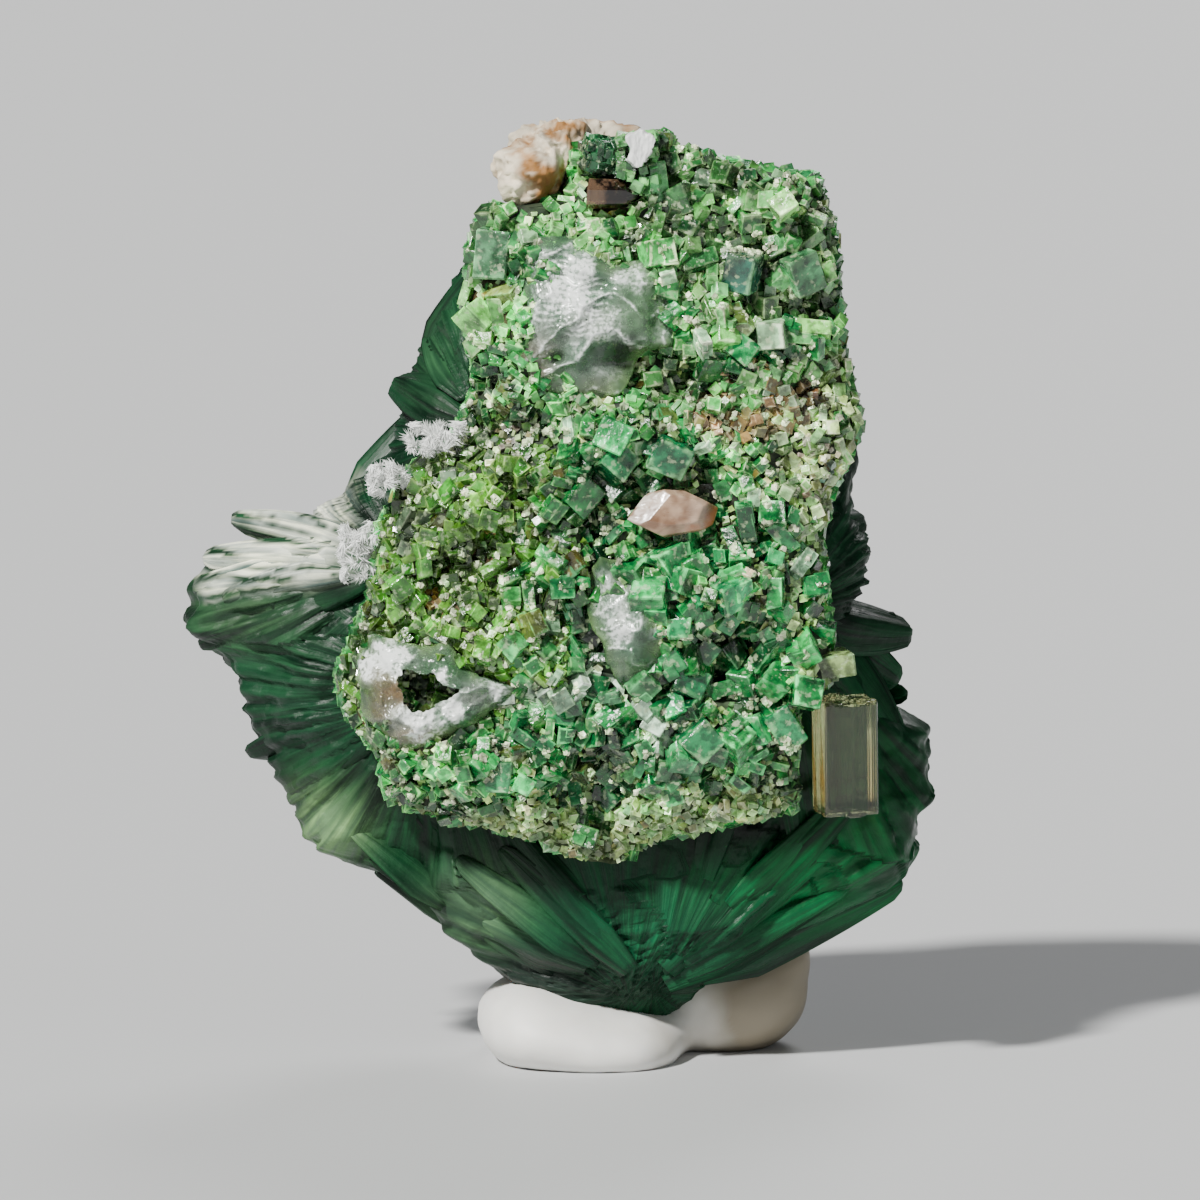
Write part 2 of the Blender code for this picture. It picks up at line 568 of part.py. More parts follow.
def build_rooms(cutters):
    """Clearances that the neighbours keep to the slab and to the rock with its blades."""
    slab_room = add_object("slab_clearance", slab_mesh(grow=GAP), cutters)
    rock_room = add_object("rock_clearance", rock_mesh(grow=GAP), cutters)
    blade_room = add_object("blade_clearance", blades_mesh(grow=1.5 * GAP), cutters)
    add_boolean(rock_room, blade_room, "UNION", own_overlaps=True)
    return slab_room, rock_room


def main():
    """Build every piece and hang them on one empty."""
    clear_scene()
    parts = make_collection("torbernite")
    cutters = make_collection("cutters")
    slab_room, rock_room = build_rooms(cutters)
    build_matrix(parts, cutters, slab_room)
    build_crust(parts, cutters)
    build_film("upper_film", UPPER_FILM, 61, parts)
    build_film("middle_film", MIDDLE_FILM, 62, parts)
    build_film("lower_film", LOWER_FILM, 63, parts, OPEN_FILM)
    build_cap(parts, cutters, slab_room, rock_room)
    build_quartz("smoky_quartz", SMOKY_QUARTZ, "smoky_brown", parts)
    build_quartz("pink_quartz", PINK_QUARTZ, "pink_quartz", parts)
    build_edged_block("white_flake", FLAKE, "white_flake", parts)
    build_edged_block("prism_crystal", PRISM, "clear_yellow", parts)
    build_tufts(parts, slab_room, rock_room)
    build_putty(parts, cutters, rock_room)
    specimen = bpy.data.objects.new("torbernite_specimen", None)
    parts.objects.link(specimen)
    for thing in parts.objects:
        if thing is not specimen:
            thing.parent = specimen


main()
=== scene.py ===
"""Dresses the torbernite specimen: crystal crust, bladed rock, clear films and putty foot.

All lengths are in metres, +Z is up and the crusted slab faces -Y.
"""
import logging
import math
import random
from dataclasses import dataclass
from enum import Enum
from typing import Callable, Optional, Sequence, Union

import bpy
import numpy as np
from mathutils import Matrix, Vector


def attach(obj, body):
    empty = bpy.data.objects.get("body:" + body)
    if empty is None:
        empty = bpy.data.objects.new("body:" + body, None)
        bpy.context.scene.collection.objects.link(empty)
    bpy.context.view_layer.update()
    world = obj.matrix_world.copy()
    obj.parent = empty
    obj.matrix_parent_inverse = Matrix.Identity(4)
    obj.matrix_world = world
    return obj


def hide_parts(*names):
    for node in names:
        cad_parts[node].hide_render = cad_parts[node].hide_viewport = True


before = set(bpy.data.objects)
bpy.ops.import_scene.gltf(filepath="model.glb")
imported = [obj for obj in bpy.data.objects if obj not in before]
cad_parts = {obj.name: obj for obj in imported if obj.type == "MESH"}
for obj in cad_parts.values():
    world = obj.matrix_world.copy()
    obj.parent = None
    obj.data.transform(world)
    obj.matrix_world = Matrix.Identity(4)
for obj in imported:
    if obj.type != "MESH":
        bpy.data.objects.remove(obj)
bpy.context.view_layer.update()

MM = 0.001
BODY = "root"
LOG = logging.getLogger("specimen")

Array = np.ndarray
Colour = tuple[float, float, float]
Oval = tuple[float, float, float, float]
Socket = bpy.types.NodeSocket
Value = Union[float, Socket]


# Sizes repeated from the solids, (height, value) in millimetres from bottom to top

SEAM_Y = -4.2 * MM
FRONT_LIMIT = -9.4 * MM
ROCK_FACE_Y = -3.8 * MM
MIDDLE_Y = 1.0 * MM
SLAB_SQUARENESS = 3.6
ROCK_SQUARENESS = 0.72
SLAB_LEFT = [(8.8, -0.5), (9.8, -2.4), (10.4, -4.9), (11.3, -8.4), (13.4, -8.9), (15.0, -10.2),
             (16.5, -10.5), (19.5, -9.2), (22.5, -8.8), (24.6, -7.6), (26.4, -5.6), (28.3, -4.9),
             (31.3, -5.3), (34.1, -5.1), (35.3, -4.4), (35.7, -1.2), (37.6, -1.0), (38.0, 1.6)]
SLAB_RIGHT = [(8.8, 0.8), (9.7, 1.8), (10.6, 5.6), (11.0, 7.8), (15.8, 7.8), (16.4, 9.4),
              (19.7, 9.0), (22.1, 8.8), (24.1, 9.3), (26.5, 10.4), (29.7, 9.7), (34.3, 9.3),
              (36.4, 8.6), (37.0, 5.2), (38.0, 2.6)]
SLAB_DEPTH = [(8.8, 0.9), (10.6, 2.2), (14.0, 3.4), (20.0, 3.9), (27.0, 3.7), (33.0, 3.4),
              (35.3, 2.9), (38.0, 1.1)]
ROCK_LEFT = [(1.2, 0.0), (2.4, -3.2), (4.4, -5.4), (7.2, -7.6), (8.1, -10.4), (9.4, -12.3),
             (11.6, -13.2), (14.2, -14.0), (16.4, -15.6), (17.8, -17.2), (19.6, -16.6),
             (21.2, -14.6), (21.8, -12.0), (23.2, -10.2), (25.6, -8.4), (28.0, -7.0),
             (32.0, -6.0), (35.0, -3.4), (36.6, 1.0)]
ROCK_RIGHT = [(1.2, 1.8), (3.2, 4.2), (5.0, 7.6), (6.8, 10.8), (8.4, 12.8), (11.0, 13.6),
              (13.4, 13.0), (14.4, 11.6), (18.2, 10.0), (20.2, 10.8), (22.2, 10.4),
              (24.6, 10.2), (28.6, 9.8), (32.0, 9.2), (35.0, 8.4), (36.6, 6.4)]
ROCK_FRONT = [(1.2, -0.6), (3.4, -2.2), (6.0, -3.4), (9.0, -3.9), (33.0, -3.9), (36.6, -3.2)]
ROCK_BACK = [(1.2, 2.6), (4.0, 5.6), (8.0, 8.0), (14.0, 9.4), (20.0, 9.2), (26.0, 7.0),
             (31.0, 4.6), (34.6, 2.6), (36.6, -0.4)]
# Pits of the slab: x, z, radius and depth in millimetres
SLAB_PITS = [(0.9, 29.2, 1.3, 1.3), (-7.3, 16.5, 0.8, 1.2), (2.9, 23.3, 1.9, 0.9),
             (8.2, 32.6, 1.0, 1.2), (-4.4, 22.4, 0.8, 0.9), (-6.8, 19.4, 0.8, 0.8),
             (0.3, 36.0, 1.3, 1.6)]
# Outlines of the films as (x, z) in millimetres
UPPER_FILM = [(-2.4, 35.0), (-0.8, 34.3), (0.4, 33.5), (2.0, 33.2), (3.0, 31.7), (2.9, 30.1),
              (1.7, 29.6), (1.0, 28.3), (0.0, 27.6), (-1.6, 27.8), (-3.2, 28.3), (-3.7, 29.8),
              (-3.5, 31.7), (-3.2, 33.5)]
MIDDLE_FILM = [(0.0, 21.5), (1.0, 21.1), (2.0, 19.7), (2.6, 18.1), (2.2, 16.5), (1.0, 16.1),
               (0.2, 17.3), (-0.4, 18.9), (-0.6, 20.5)]
LOWER_FILM = [(-9.0, 18.3), (-7.2, 17.9), (-6.0, 18.1), (-5.0, 16.9), (-3.4, 16.1), (-4.2, 15.1),
              (-6.0, 14.3), (-8.0, 13.9), (-9.3, 14.7), (-9.7, 15.8), (-9.6, 17.4)]
# Sheaves of blades: side, x and z of the hub, direction and half spread in degrees, length, number
SHEAVES = [(-1, 1.2, 2.8, 35, 11, 12.6, 7), (-1, 2.2, 3.0, 138, 18, 10.0, 5),
           (-1, 6.0, 21.6, 350, 16, 5.6, 3), (-1, 7.2, 18.6, 328, 20, 6.0, 3),
           (-1, -7.8, 20.8, 189, 16, 9.2, 5), (-1, -6.8, 15.8, 216, 26, 8.0, 4),
           (-1, -4.6, 26.4, 142, 20, 4.4, 2), (1, 1.0, 4.2, 72, 46, 10.4, 5),
           (1, -3.4, 14.0, 154, 50, 10.0, 5), (1, 3.8, 13.4, 32, 48, 9.4, 5),
           (1, 0.6, 23.0, 95, 56, 9.6, 5)]
# Crystals set one by one: middle, edge lengths in millimetres and turns in degrees
LARGE_CRYSTALS = [
    (8.1, -7.2, 32.8, 2.0, 0.9, 2.4, 12, -24, 24),
    (5.7, -7.7, 32.9, 1.7, 1.4, 2.4, 8, 14, -18),
    (0.2, -5.9, 37.7, 2.0, 2.0, 1.5, 8, 6, 12),
    (2.1, -6.2, 36.3, 1.0, 1.4, 1.9, 0, -6, 20),
    (-4.2, -6.6, 33.5, 1.5, 1.5, 2.2, 0, 5, -12),
    (9.1, -5.8, 17.0, 2.2, 2.0, 1.0, 6, -6, 10),
    (2.8, -8.0, 25.6, 1.7, 1.5, 1.6, 20, 25, 10),
    (0.6, -8.0, 25.3, 1.4, 1.4, 1.4, -18, 40, 14),
    (4.0, -7.9, 14.2, 1.5, 1.4, 1.5, 10, 45, 20),
    (-4.2, -7.6, 12.7, 1.4, 1.3, 1.4, 0, 4, 0),
    (7.3, -7.0, 14.6, 1.2, 1.3, 2.0, 10, -35, 10),
]
# The dark block beside the flake, as a row of LARGE_CRYSTALS
DARK_BLOCK = 2
# The bed of crystals under the flake: middle and edge lengths
FLAKE_BED = (1.5, -6.62, 37.15, 1.3, 1.1, 2.1)
# Places that no crystal may cover, as ovals (x, z and half sizes): pink grain, brown crystal, cap, flake
KEPT_FREE = [(2.9, 23.3, 1.45, 0.75), (0.4, 35.95, 1.0, 0.7), (-2.9, 36.4, 1.2, 1.2), (1.5, 37.6, 0.4, 1.0)]
# Path of the pale glaze over the crust as (x, z)
GLAZE_LINE = [(-5.2, 16.1), (-2.0, 16.1), (0.0, 16.9), (1.6, 15.7), (2.8, 13.3)]
# Tufts: name, middle and half sizes in millimetres
TUFTS = [("upper_tuft", (-6.5, -6.6, 26.1), (1.5, 0.8, 0.8)),
         ("middle_tuft", (-8.5, -6.1, 24.4), (0.9, 0.8, 0.9)),
         ("lower_tuft", (-9.6, -5.7, 21.6), (1.0, 0.8, 1.6))]


# Numbers and noise


def outline(points: Sequence[tuple[float, float]], z: Array) -> Array:
    """Straight-line value of a (height, value) outline at the heights z."""
    heights, values = np.array(points, dtype=float).T * MM
    return np.interp(z, heights, values)


def ripples(x: Array, y: Array, z: Array, wavelength: float, seed: int) -> Array:
    """Sum of eight sine waves in seeded directions, as in the solids.

    Args:
        x, y, z: places, in the wavelength's own unit.
        wavelength: middle wavelength of the waves.
        seed: picks the directions and phases.

    Returns:
        Values between about -1 and 1.
    """
    pick = random.Random(seed)
    total = np.zeros(np.broadcast(x, y, z).shape)
    for _ in range(8):
        way = Vector([pick.gauss(0, 1) for _ in range(3)]).normalized()
        number = math.tau / (wavelength * pick.uniform(0.6, 1.6))
        total = total + np.sin(number * (way.x * x + way.y * y + way.z * z) + pick.uniform(0, math.tau))
    return total / 4.0


def lattice_noise(points: Array, cell: float, seed: int, octaves: int = 3) -> Array:
    """Smooth noise: random values on a lattice, blended by smooth steps, summed by octaves.

    Args:
        points: places, shape (..., 3).
        cell: lattice spacing of the coarsest octave.
        seed: picks the lattice values.
        octaves: number of layers, each with half the spacing and half the weight.

    Returns:
        Values between about -1 and 1, shape (...).
    """
    values = np.random.default_rng(seed).uniform(-1, 1, (32, 32, 32))
    total, weight = np.zeros(points.shape[:-1]), 1.0
    for octave in range(octaves):
        place = points / cell * 2 ** octave + 17.3 * octave
        whole = np.floor(place).astype(int)
        part = place - whole
        part = part * part * (3 - 2 * part)
        for corner in np.ndindex(2, 2, 2):
            index = (whole + corner) % 32
            share = np.prod(np.where(np.array(corner) == 1, part, 1 - part), axis=-1)
            total += weight * share * values[index[..., 0], index[..., 1], index[..., 2]]
        weight *= 0.5
    return total


def turn_matrices(angles: Array) -> Array:
    """Rotation matrices from angles about x, then y, then z.

    Args:
        angles: radians, shape (n, 3).

    Returns:
        Matrices of shape (n, 3, 3).
    """
    cosine, sine = np.cos(angles), np.sin(angles)
    zero, one = np.zeros(len(angles)), np.ones(len(angles))
    (cos_x, cos_y, cos_z), (sin_x, sin_y, sin_z) = cosine.T, sine.T
    about_x = np.array([[one, zero, zero], [zero, cos_x, -sin_x], [zero, sin_x, cos_x]])
    about_y = np.array([[cos_y, zero, sin_y], [zero, one, zero], [-sin_y, zero, cos_y]])
    about_z = np.array([[cos_z, -sin_z, zero], [sin_z, cos_z, zero], [zero, zero, one]])
    about_x, about_y, about_z = [np.moveaxis(m, 2, 0) for m in (about_x, about_y, about_z)]
    return about_z @ about_y @ about_x


def axes_matrices(out: Array, up: Array) -> Array:
    """Matrices whose columns are a side axis, the outward axis and an upward axis.

    Args:
        out: outward directions, shape (n, 3).
        up: rough upward directions, shape (n, 3).

    Returns:
        Matrices of shape (n, 3, 3) with unit columns (side, out, upright).
    """
    out = out / np.linalg.norm(out, axis=-1, keepdims=True)
    side = np.cross(out, up)
    side /= np.linalg.norm(side, axis=-1, keepdims=True) + 1e-12
    return np.stack([side, out, np.cross(side, out)], axis=-1)


def mix_colours(low: Colour, high: Colour, share: Array) -> Array:
    """Blend of two colours by a share from 0 to 1, shape (n, 3)."""
    share = np.clip(share, 0, 1)[..., None]
    return np.array(low) * (1 - share) + np.array(high) * share


def bell(x: Array, z: Array, oval: Oval) -> Array:
    """Exponential of minus the squared distance from an oval's middle, counted in its half sizes."""
    at_x, at_z, half_x, half_z = oval
    return np.exp(-((x - at_x) / half_x) ** 2 - ((z - at_z) / half_z) ** 2)


def spotted(tone: Array, x: Array, z: Array, spots: Sequence[tuple],
            gain: Union[float, Array] = 1.0) -> Array:
    """Colours with spots blended in by bells.

    Args:
        tone: the colours so far, shape (n, 3).
        x, z: places in millimetres.
        spots: (colour, x, z, half width, half height) of each spot.
        gain: strength of the spots.

    Returns:
        The new colours.
    """
    for colour, *oval in spots:
        near = np.clip(bell(x, z, oval) * gain, 0, 1)[..., None]
        tone = tone * (1 - near) + np.array(colour) * near
    return tone


def round_directions(rows: int, columns: int) -> Array:
    """Unit directions from the lower pole to the upper, shape (rows, columns, 3).

    Args:
        rows, columns: number of rings and of directions in a ring.

    Returns:
        The directions.
    """
    tilt = np.linspace(0, math.pi, rows + 2)[1:-1][:, None]
    turn = np.linspace(0, math.tau, columns, endpoint=False)[None]
    return np.stack([np.sin(tilt) * np.cos(turn), np.sin(tilt) * np.sin(turn),
                     -np.cos(tilt) * np.ones_like(turn)], -1)


# Meshes


def grid_quads(rows: int, columns: int, wrap: bool = False) -> Array:
    """Quads of a grid of points stored row by row.

    Args:
        rows: number of rows of points.
        columns: number of points in a row.
        wrap: joins each row's last point to its first.

    Returns:
        Point numbers, shape (n, 4).
    """
    across = columns if wrap else columns - 1
    row, column = np.meshgrid(np.arange(rows - 1), np.arange(across), indexing="ij")
    after = (column + 1) % columns
    return np.stack([row * columns + column, row * columns + after,
                     (row + 1) * columns + after, (row + 1) * columns + column], -1).reshape(-1, 4)


@dataclass
class Surface:
    """Points and faces of one mesh, with its corner UVs and point colours."""

    points: Array
    faces: list[Array]
    uv: Optional[Array] = None
    colours: Optional[dict[str, Array]] = None

    def corners(self) -> Array:
        """Point numbers of all face corners in order."""
        return np.concatenate([face.ravel() for face in self.faces])

    def flipped(self) -> "Surface":
        """The same surface with its faces turned over.

        Returns:
            The turned surface.
        """
        uv = None
        if self.uv is not None:
            parts, start = [], 0
            for face in self.faces:
                stop = start + face.size
                parts.append(self.uv[start:stop].reshape(*face.shape, 2)[:, ::-1].reshape(-1, 2))
                start = stop
            uv = np.concatenate(parts)
        return Surface(self.points, [face[:, ::-1] for face in self.faces], uv, self.colours)


def join_surfaces(surfaces: Sequence[Surface]) -> Surface:
    """Put several surfaces into one, keeping their UVs and colours.

    Args:
        surfaces: surfaces that have UVs and the same colour names.

    Returns:
        One surface with all faces, those of one corner count together.
    """
    starts = np.cumsum([0] + [len(s.points) for s in surfaces])
    by_size: dict[int, list[Array]] = {}
    uv_by_size: dict[int, list[Array]] = {}
    for start, surface in zip(starts, surfaces):
        at = 0
        for face in surface.faces:
            by_size.setdefault(face.shape[1], []).append(face + start)
            uv_by_size.setdefault(face.shape[1], []).append(surface.uv[at:at + face.size])
            at += face.size
    names = surfaces[0].colours.keys()
    colours = {name: np.concatenate([s.colours[name] for s in surfaces]) for name in names}
    return Surface(np.concatenate([s.points for s in surfaces]),
                   [np.concatenate(by_size[size]) for size in by_size],
                   np.concatenate([np.concatenate(uv_by_size[size]) for size in by_size]), colours)


def tube_surface(rings: Array, uv_scale: tuple[float, float] = (1.0, 1.0)) -> Surface:
    """Skin closed rings into a body whose two ends close at their middles.

    Args:
        rings: points of shape (rows, columns, 3), each row a closed ring.
        uv_scale: span of u round the ring and of v along the body.

    Returns:
        A closed surface: quads between the rings and a fan at each end.
    """
    rows, columns = rings.shape[:2]
    ends = np.stack([rings[0].mean(axis=0), rings[-1].mean(axis=0)])
    points = np.concatenate([rings.reshape(-1, 3), ends])
    quads = grid_quads(rows, columns, wrap=True)
    turn = np.arange(columns)
    after = (turn + 1) % columns
    first = np.stack([np.full(columns, rows * columns), after, turn], -1)
    last = (rows - 1) * columns
    second = np.stack([np.full(columns, rows * columns + 1), last + turn, last + after], -1)
    u = np.arange(columns + 1) / columns * uv_scale[0]
    v = np.arange(rows) / (rows - 1) * uv_scale[1]
    low_u, high_u = np.tile(u[:-1], rows - 1), np.tile(u[1:], rows - 1)
    low_v, high_v = np.repeat(v[:-1], columns), np.repeat(v[1:], columns)
    quad_uv = np.stack([np.stack([low_u, low_v], -1), np.stack([high_u, low_v], -1),
                        np.stack([high_u, high_v], -1), np.stack([low_u, high_v], -1)], 1)
    fan_uv = np.zeros((2 * columns * 3, 2))
    fan_uv[:, 0] = 0.5 * uv_scale[0]
    return Surface(points, [quads, np.concatenate([first, second])],
                   np.concatenate([quad_uv.reshape(-1, 2), fan_uv]), {})


def put_mesh(name: str, surface: Surface, smooth: bool) -> bpy.types.Object:
    """Make an object from a surface, with whole arrays.

    Args:
        name: the object's name.
        surface: points, faces, UVs and colours.
        smooth: shades the faces smooth.

    Returns:
        The object, linked into the scene at the origin.
    """
    mesh = bpy.data.meshes.new(name)
    mesh.vertices.add(len(surface.points))
    mesh.vertices.foreach_set("co", surface.points.astype(np.float32).ravel())
    corners = surface.corners().astype(np.int32)
    counts = np.concatenate([np.full(len(face), face.shape[1]) for face in surface.faces])
    mesh.loops.add(len(corners))
    mesh.loops.foreach_set("vertex_index", corners)
    mesh.polygons.add(len(counts))
    mesh.polygons.foreach_set("loop_start", np.concatenate([[0], np.cumsum(counts)[:-1]]).astype(np.int32))
    mesh.update(calc_edges=True)
    if surface.uv is not None:
        layer = mesh.uv_layers.new(name="UVMap")
        layer.data.foreach_set("uv", surface.uv.astype(np.float32).ravel())
    for label, colour in (surface.colours or {}).items():
        layer = mesh.color_attributes.new(label, "FLOAT_COLOR", "POINT")
        rgba = np.ones((len(surface.points), 4), np.float32)
        rgba[:, :colour.shape[1]] = colour
        layer.data.foreach_set("color", rgba.ravel())
    mesh.polygons.foreach_set("use_smooth", np.full(len(counts), smooth))
    mesh.validate()
    thing = bpy.data.objects.new(name, mesh)
    bpy.context.scene.collection.objects.link(thing)
    return thing


def finish_piece(name: str, surface: Surface, material: bpy.types.Material,
                 nodes: Sequence[str] = (), smooth: bool = True) -> bpy.types.Object:
    """Make a piece, dress it, let it ride and hide the solids that it replaces.

    Args:
        name: the piece's name.
        surface: its mesh.
        material: its finish.
        nodes: names of the solids that it replaces.
        smooth: shades the faces smooth.

    Returns:
        The finished object.
    """
    piece = put_mesh(name, surface, smooth)
    piece.data.materials.append(material)
    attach(piece, BODY)
    if nodes:
        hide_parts(*nodes)
    LOG.info("%s: %d points, %d faces", name, len(piece.data.vertices), len(piece.data.polygons))
    return piece


# Finishes


class Graph:
    """A material's node tree, with short calls to add nodes and join them."""

    def __init__(self, name: str) -> None:
        """Start a material with its Principled shader.

        Args:
            name: the material's name.
        """
        self.material = bpy.data.materials.new(name)
        self.material.use_nodes = True
        self.tree = self.material.node_tree
        self.shader = self.tree.nodes["Principled BSDF"]

    def add(self, kind: str, inputs: Optional[dict] = None, **settings: object) -> bpy.types.Node:
        """Add a node.

        Args:
            kind: the node's type name.
            inputs: socket name or number to a value, or to a socket that is joined to it.
            settings: properties of the node.

        Returns:
            The new node.
        """
        node = self.tree.nodes.new(kind)
        for key, value in settings.items():
            setattr(node, key, value)
        for key, value in (inputs or {}).items():
            if isinstance(value, Socket):
                self.tree.links.new(value, node.inputs[key])
            else:
                node.inputs[key].default_value = value
        return node

    def set(self, **values: object) -> None:
        """Set or join the shader's own sockets, named with _ for a space."""
        for key, value in values.items():
            socket = self.shader.inputs[key.replace("_", " ")]
            if isinstance(value, Socket):
                self.tree.links.new(value, socket)
            else:
                socket.default_value = value

    def attribute(self, name: str) -> Socket:
        """Colour of a point attribute."""
        return self.add("ShaderNodeAttribute", attribute_name=name).outputs["Color"]

    def place(self) -> Socket:
        """Object coordinates."""
        return self.add("ShaderNodeTexCoord").outputs["Object"]

    def uv(self, stretch: tuple[float, float] = (1.0, 1.0)) -> Socket:
        """The piece's own UV map, stretched."""
        source = self.add("ShaderNodeUVMap", uv_map="UVMap").outputs["UV"]
        return self.add("ShaderNodeMapping", {"Vector": source, "Scale": (*stretch, 1.0)}).outputs[0]

    def noise(self, vector: Socket, scale: float, detail: float = 4.0,
              distortion: float = 0.0) -> Socket:
        """Noise texture's value on the given coordinates."""
        return self.add("ShaderNodeTexNoise", {"Vector": vector, "Scale": scale, "Detail": detail,
                                               "Distortion": distortion}).outputs["Fac"]

    def math(self, operation: str, first: Value, second: Value = 0.0, third: Value = 0.0
             ) -> Socket:
        """Result of a math node."""
        return self.add("ShaderNodeMath", {0: first, 1: second, 2: third}, operation=operation).outputs[0]

    def span(self, value: Value, low: float, high: float, to_low: float = 0.0, to_high: float = 1.0
             ) -> Socket:
        """Value carried from one range to another, smoothly and clamped.

        Args:
            value: the value or its socket.
            low, high: ends of its range.
            to_low, to_high: ends of the new range.

        Returns:
            The new value.
        """
        return self.add("ShaderNodeMapRange", {"Value": value, "From Min": low, "From Max": high,
                                               "To Min": to_low, "To Max": to_high},
                        interpolation_type="SMOOTHSTEP").outputs["Result"]

    def mix(self, share: Value, first: Union[Colour, Value], second: Union[Colour, Value],
            blend: str = "MIX") -> Socket:
        """Blend of two colours.

        Args:
            share: how much of the second.
            first, second: the colours.
            blend: way of blending.

        Returns:
            The blend.
        """
        node = self.add("ShaderNodeMix", data_type="RGBA", blend_type=blend)
        for key, value in ((0, share), (6, first), (7, second)):
            if isinstance(value, Socket):
                self.tree.links.new(value, node.inputs[key])
            else:
                node.inputs[key].default_value = (*value, 1.0) if key and len(value) == 3 else value
        return node.outputs[2]

    def bump(self, height: Value, strength: float, distance: float) -> Socket:
        """Normal bent by a height, with its depth in metres."""
        return self.add("ShaderNodeBump", {"Height": height, "Strength": strength,
                                           "Distance": distance}).outputs["Normal"]


@dataclass(frozen=True)
class CrystalFinish:
    """Glassy crystal: deep in the middle of each face and pale at its edges.

    The whole part of u carries a painted lightness for each face, picked at random, that stands in for lit
    and shaded faces, and the fractions its place on the face.
    """

    name: str
    roughness: float = 0.2
    transmission: float = 0.1
    edge_from: float = 0.76
    edge_to: float = 1.04
    dust: float = 0.5

    def make(self) -> bpy.types.Material:
        """Colour by the face's own UV, from the attributes core and edge, with dusty flecks.

        Returns:
            The material.
        """
        g = Graph(self.name)
        uv = g.add("ShaderNodeSeparateXYZ", {0: g.uv()})
        far_u = g.math("ABSOLUTE", g.math("MULTIPLY_ADD", g.math("FRACT", uv.outputs[0]), 2.0, -1.0))
        far_v = g.math("ABSOLUTE", g.math("MULTIPLY_ADD", g.math("FRACT", uv.outputs[1]), 2.0, -1.0))
        place = g.place()
        mottle = g.noise(place, 1500.0, 5.0)
        reach = g.math("ADD", g.math("MAXIMUM", far_u, far_v), g.math("MULTIPLY_ADD", mottle, 1.7, -0.85))
        colour = g.mix(g.span(reach, self.edge_from, self.edge_to), g.attribute("core"), g.attribute("edge"))
        # Painted light and shade: each face's random whole number of u sets its lightness from 0.62 to 1.30.
        face = g.math("MULTIPLY_ADD", g.math("FLOOR", uv.outputs[0]), 0.17, 0.62)
        pitted = g.span(g.noise(place, 3000.0, 4.0), 0.36, 0.56, 0.5, 1.12)
        cloud = g.math("MULTIPLY", g.math("MULTIPLY", face, pitted),
                       g.span(g.noise(place, 800.0, 5.0), 0.34, 0.66, 0.4, 1.75))
        shade = g.add("ShaderNodeCombineColor", {0: cloud, 1: cloud, 2: cloud}).outputs[0]
        fleck = g.math("MULTIPLY", g.span(g.noise(place, 3600.0, 5.0), 0.55, 0.67), self.dust)
        coloured = g.mix(fleck, g.mix(1.0, colour, shade, "MULTIPLY"), (0.50, 0.62, 0.36))
        rough = g.span(mottle, 0.3, 0.7, self.roughness * 0.5, self.roughness * 1.6)
        g.set(Base_Color=coloured, Roughness=g.math("MULTIPLY_ADD", fleck, 0.5, rough),
              Normal=g.bump(g.noise(place, 2200.0, 5.0), 0.75, 0.00014))
        g.set(IOR=1.58, Transmission_Weight=self.transmission, Coat_Weight=0.4, Coat_Roughness=0.08)
        return g.material


@dataclass(frozen=True)
class GroundFinish:
    """Grainy ground between the crystals, coloured by the attribute tone."""

    name: str
    roughness: float = 0.75

    def make(self) -> bpy.types.Material:
        """Grains of several sizes in light and dark.

        Returns:
            The material.
        """
        g = Graph(self.name)
        place = g.place()
        grain = g.add("ShaderNodeTexVoronoi", {"Vector": place, "Scale": 2600.0}, feature="F1")
        fleck = g.noise(place, 900.0, 6.0)
        tone = g.attribute("tone")
        dark = g.mix(1.0, tone, (0.25, 0.3, 0.25), "MULTIPLY")
        light = g.mix(0.12, tone, (0.45, 0.52, 0.3))
        colour = g.mix(g.span(fleck, 0.35, 0.7), dark, light)
        g.set(Base_Color=g.mix(g.span(grain.outputs["Distance"], 0.0, 0.7, 0.0, 0.6), colour, dark),
              Roughness=self.roughness, Normal=g.bump(grain.outputs["Distance"], 0.7, 0.0001))
        return g.material


@dataclass(frozen=True)
class SilkFinish:
    """Dark silky rock with fibres along its blades, coloured by the attribute tone."""

    name: str
    fibres: tuple[float, float] = (4.5, 0.22)
    roughness: float = 0.38

    def make(self) -> bpy.types.Material:
        """Streaks along v of the UV map, in colour, gloss and height.

        Returns:
            The material.
        """
        g = Graph(self.name)
        streak = g.noise(g.uv(self.fibres), 1.0, 5.0, 0.4)
        coarse = g.noise(g.uv((self.fibres[0] * 0.25, self.fibres[1] * 0.7)), 1.0, 3.0)
        cloud = g.noise(g.place(), 420.0, 5.0)
        crumb = g.noise(g.place(), 2300.0, 4.0)
        tone = g.attribute("tone")
        dark = g.mix(1.0, tone, (0.2, 0.28, 0.28), "MULTIPLY")
        light = g.mix(1.0, tone, (2.0, 1.9, 1.6), "MULTIPLY")
        share = g.math("MULTIPLY", g.span(streak, 0.38, 0.72), g.span(cloud, 0.3, 0.7, 0.35, 1.0))
        colour = g.mix(share, g.mix(g.span(coarse, 0.35, 0.65), dark, tone), light)
        height = g.math("MULTIPLY_ADD", crumb, 0.6, streak)
        g.set(Base_Color=colour, Normal=g.bump(height, 0.6, 0.00016),
              Roughness=g.span(streak, 0.3, 0.7, self.roughness * 0.8, self.roughness * 1.6))
        g.set(Specular_IOR_Level=0.22, Coat_Weight=0.03, Coat_Roughness=0.25)
        return g.material


